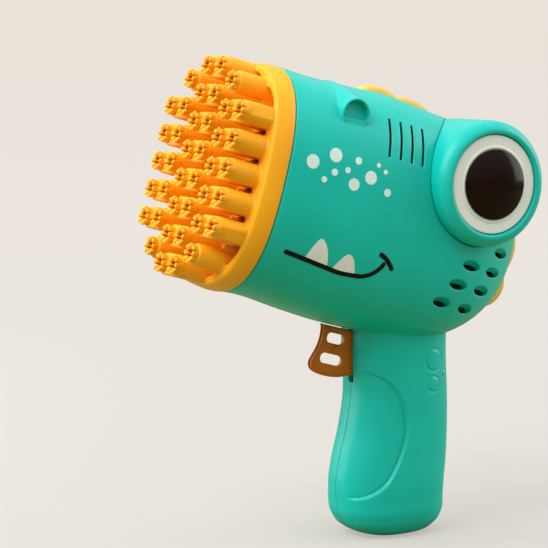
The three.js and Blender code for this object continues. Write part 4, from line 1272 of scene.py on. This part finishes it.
def ink(name, colour, roughness=0.3, shine=0.4):
    """Pad-printed ink: nearly even, a little thin and grainy."""
    n = Nodes(name)
    return n.finish(Base_Color=n.shaded(colour, n.remap(n.noise(700, 3), 0.94, 1.03, 0.3, 0.7)),
                    Specular_IOR_Level=shine,
                    Roughness=n.remap(n.noise(900, 2), roughness - 0.04, roughness + 0.08, 0.3, 0.7),
                    Normal=n.bump(n.noise(3000, 2), 0.3, 0.01))


def metal(name, colour, roughness=0.3, stretch=(1, 1, 1), wear=0.3):
    """Plated or turned metal with fine brushing and a little tarnish."""
    n = Nodes(name)
    tarnish = n.remap(n.noise(90, 4), 0.0, wear, 0.45, 0.75)
    brushed = n.noise(900, 3, stretch)
    bevel = n.add("ShaderNodeBevel", samples=4, Radius=0.15 * MM)
    return n.finish(Base_Color=n.mix(tarnish, colour, scaled(colour, 0.55)), Metallic=1,
                    Roughness=n.remap(brushed, roughness - 0.08, roughness + 0.15, 0.3, 0.7),
                    Normal=n.bump(brushed, 0.3, 0.01, bevel.outputs["Normal"]))


def pupil_material():
    n = Nodes("pupil_gloss")
    tone = n.mix(n.remap(n.noise(40, 2), 0, 1, 0.35, 0.65), linear(24, 4, 3), linear(18, 2, 2))
    return n.finish(Base_Color=tone, Roughness=n.remap(n.noise(300, 3), 0.12, 0.18, 0.3, 0.7),
                    Normal=n.bump(n.noise(90, 2), 0.12, 0.05), Specular_IOR_Level=0.16)


def jacket_material():
    """A printed battery sleeve: dark, with a slight sheen."""
    n = Nodes("cell_jacket")
    tone = n.mix(n.remap(n.noise(120, 2), 0, 0.4, 0.4, 0.7), linear(30, 34, 40), linear(60, 66, 74))
    return n.finish(Base_Color=tone, Roughness=n.remap(n.noise(500, 2), 0.22, 0.36, 0.3, 0.7),
                    Metallic=0.5, Coat_Weight=0.4)


def make_materials():
    return {
        "teal": moulded("teal_plastic", linear(6, 186, 172), 0.35),
        # the yellow gets painted shade, deep orange-brown, in its narrow gaps
        "yellow": moulded("yellow_plastic", linear(252, 170, 20), 0.4, edge=0.2, glow=0.04,
                          painted_crevice_shade=linear(120, 50, 6)),
        "crest": moulded("crest_plastic", linear(225, 185, 80), 0.42, glow=0.05),
        "white": moulded("white_plastic", linear(232, 233, 228), 0.3, mottle=0.02, wear=0.1),
        "amber": moulded("amber_plastic", linear(196, 106, 8), 0.36, edge=0.3),
        "natural": moulded("natural_plastic", linear(214, 214, 204), 0.45, mottle=0.04),
        "dark": moulded("black_plastic", linear(34, 35, 37), 0.45, mottle=0.08),
        "tray": moulded("tray_plastic", linear(14, 140, 124), 0.45),
        "rubber": moulded("seal_rubber", linear(38, 38, 40), 0.75, grain=0.8, mottle=0.1, wear=0.15),
        "red_wire": moulded("red_wire", linear(178, 36, 28), 0.5),
        "black_wire": moulded("black_wire", linear(26, 26, 28), 0.5),
        "steel": metal("steel", linear(188, 190, 192), 0.28),
        "motor": metal("motor_can", linear(160, 164, 168), 0.36, (1, 0.05, 1)),
        "pupil": pupil_material(),
        "jacket": jacket_material(),
        "ink_white": ink("ink_white", linear(222, 238, 232)),
        "ink_tooth": ink("ink_tooth", linear(232, 232, 228)),
        "ink_black": ink("ink_black", linear(4, 14, 9), 0.4, 0.15),
    }


CAD_FINISH = {
    "nozzle_seal": "rubber", "air_duct": "natural", "fan_housing": "natural", "impeller": "natural",
    "motor_shaft": "steel", "motor": "motor", "motor_screw_1": "steel", "motor_screw_2": "steel",
    "switch_body": "dark", "switch_plunger": "natural", "battery_tray": "tray",
    "contact_bottom_front": "steel", "contact_bottom_back": "steel", "contact_top_link": "steel",
    "contact_top_front": "steel", "contact_top_back": "steel", "wire_battery": "red_wire",
    "wire_motor": "red_wire", "wire_return": "black_wire",
}


def finish_cad_nodes(materials):
    for name, finish in CAD_FINISH.items():
        node = frame["nodes"][name]
        node.data.materials.clear()
        node.data.materials.append(materials[finish])


# ---------------------------------------------------------------- studio


def build_floor():
    """A wide pale floor, deeper in tone near the lamps so that it reads as one even sheet.

    The light it sends back up is dimmer and greener than it looks, as over grass."""
    verts = [(-12, -12, 0), (12, -12, 0), (12, 12, 0), (-12, 12, 0)]
    floor = new_object("studio_floor", verts, [(0, 1, 2, 3)])
    n = Nodes("floor_paper")
    away = n.add("ShaderNodeVectorMath", operation="LENGTH")
    n.link(n.place, away.inputs[0])
    tone = n.add("ShaderNodeMapRange", interpolation_type="SMOOTHSTEP", From_Max=FLOOR_FADE)
    n.link(away.outputs["Value"], tone.inputs["Value"])
    plain = n.mix(tone.outputs["Result"], FLOOR_NEAR, FLOOR_FAR)
    fibres = n.remap(n.noise(3, 4), 0, 0.04, 0.3, 0.7)
    paper = n.mix(fibres, plain, FLOOR_NEAR)
    path = n.add("ShaderNodeLightPath")
    seen = path.outputs["Is Camera Ray"]
    n.finish(Base_Color=n.mix(seen, FLOOR_BOUNCE, paper), Emission_Strength=seen,
             Emission_Color=FLOOR_SHEEN, Specular_IOR_Level=0.02,
             Roughness=n.remap(n.noise(40, 3), 0.75, 0.9, 0.3, 0.7))
    floor.data.materials.append(n.material)


def area_light(name, at, aim, size, power, colour=(1, 1, 1)):
    light = bpy.data.lights.new(name, "AREA")
    light.shape = "RECTANGLE"
    light.size, light.size_y = size
    light.energy = power
    light.color = colour
    lamp = bpy.data.objects.new(name, light)
    lamp.location = at
    lamp.rotation_euler = (Vector(aim) - Vector(at)).to_track_quat("-Z", "Y").to_euler()
    bpy.context.scene.collection.objects.link(lamp)


LIGHTS = {  # position, size, power in watts, colour
    "key": ((0.12, -0.85, 0.95), (0.8, 0.8), 13, (0.92, 1, 1.06)),
    "rear": ((0.25, 0.95, 0.45), (0.7, 0.7), 5, (1, 1, 1)),
    "rim": ((-0.55, -0.5, 0.3), (0.5, 0.9), 3, (1, 1, 1)),
}
FLOOR_BOUNCE = (0.25, 0.25, 0.12, 1)
FLOOR_NEAR, FLOOR_FAR = (0.22, 0.21, 0.195, 1), (0.376, 0.352, 0.324, 1)
FLOOR_SHEEN = (0.44, 0.415, 0.38, 1)  # even part of the tone that the camera sees
FLOOR_FADE = 1.7  # metres from the toy over which the tone changes
BACKDROP = linear(233, 226, 217)
HORIZON, ZENITH = 0.42, 1.25


def build_world():
    """Soft light from all round, its strength running from horizon to zenith; a plain backdrop."""
    world = bpy.data.worlds.new("studio")
    world.use_nodes = True
    tree = world.node_tree
    background = tree.nodes["Background"]
    background.inputs["Strength"].default_value = 1
    direction = tree.nodes.new("ShaderNodeTexCoord")
    parts = tree.nodes.new("ShaderNodeSeparateXYZ")
    tree.links.new(direction.outputs["Generated"], parts.inputs[0])
    level = tree.nodes.new("ShaderNodeMapRange")
    level.inputs["To Min"].default_value = HORIZON
    level.inputs["To Max"].default_value = ZENITH
    tree.links.new(parts.outputs["Z"], level.inputs["Value"])
    path = tree.nodes.new("ShaderNodeLightPath")
    seen = tree.nodes.new("ShaderNodeMix")
    seen.data_type = "RGBA"
    tree.links.new(path.outputs["Is Camera Ray"], seen.inputs[0])
    tree.links.new(level.outputs["Result"], seen.inputs[6])
    seen.inputs[7].default_value = BACKDROP
    tree.links.new(seen.outputs[2], background.inputs["Color"])
    bpy.context.scene.world = world


def build_lights():
    middle = (0, 0, 0.12)
    for name, (at, size, power, colour) in LIGHTS.items():
        area_light(name, at, middle, size, power, colour)
    build_world()


def build_camera():
    camera = bpy.data.cameras.new("camera")
    camera.lens = 134.7
    camera.sensor_width = 36
    eye = bpy.data.objects.new("camera", camera)
    eye.location = (0.7229, -0.4709, 0.2083)
    view = Vector((-0.8616, 0.4948, -0.1129))
    eye.rotation_euler = view.to_track_quat("-Z", "Y").to_euler()
    bpy.context.scene.collection.objects.link(eye)
    bpy.context.scene.camera = eye


# ---------------------------------------------------------------- build


def build():
    materials = make_materials()
    left, right, door = build_casing()
    put(left, "casing_left", TOY, materials["teal"], replaces=["shell_left"])
    put(right, "casing_right", TOY, materials["teal"], replaces=["shell_right"])
    put(door, "cover_panel", TOY, materials["teal"], "battery_cover",
        replaces=["battery_cover"])
    build_prints(materials)
    build_nozzle(materials)
    build_eyes(materials)
    build_crests(materials)
    build_trigger(materials)
    build_trigger_spring(materials)
    build_screws(materials)
    build_cells(materials)
    finish_cad_nodes(materials)
    build_floor()
    build_lights()
    build_camera()
    bpy.context.scene.view_settings.view_transform = "Standard"


build()
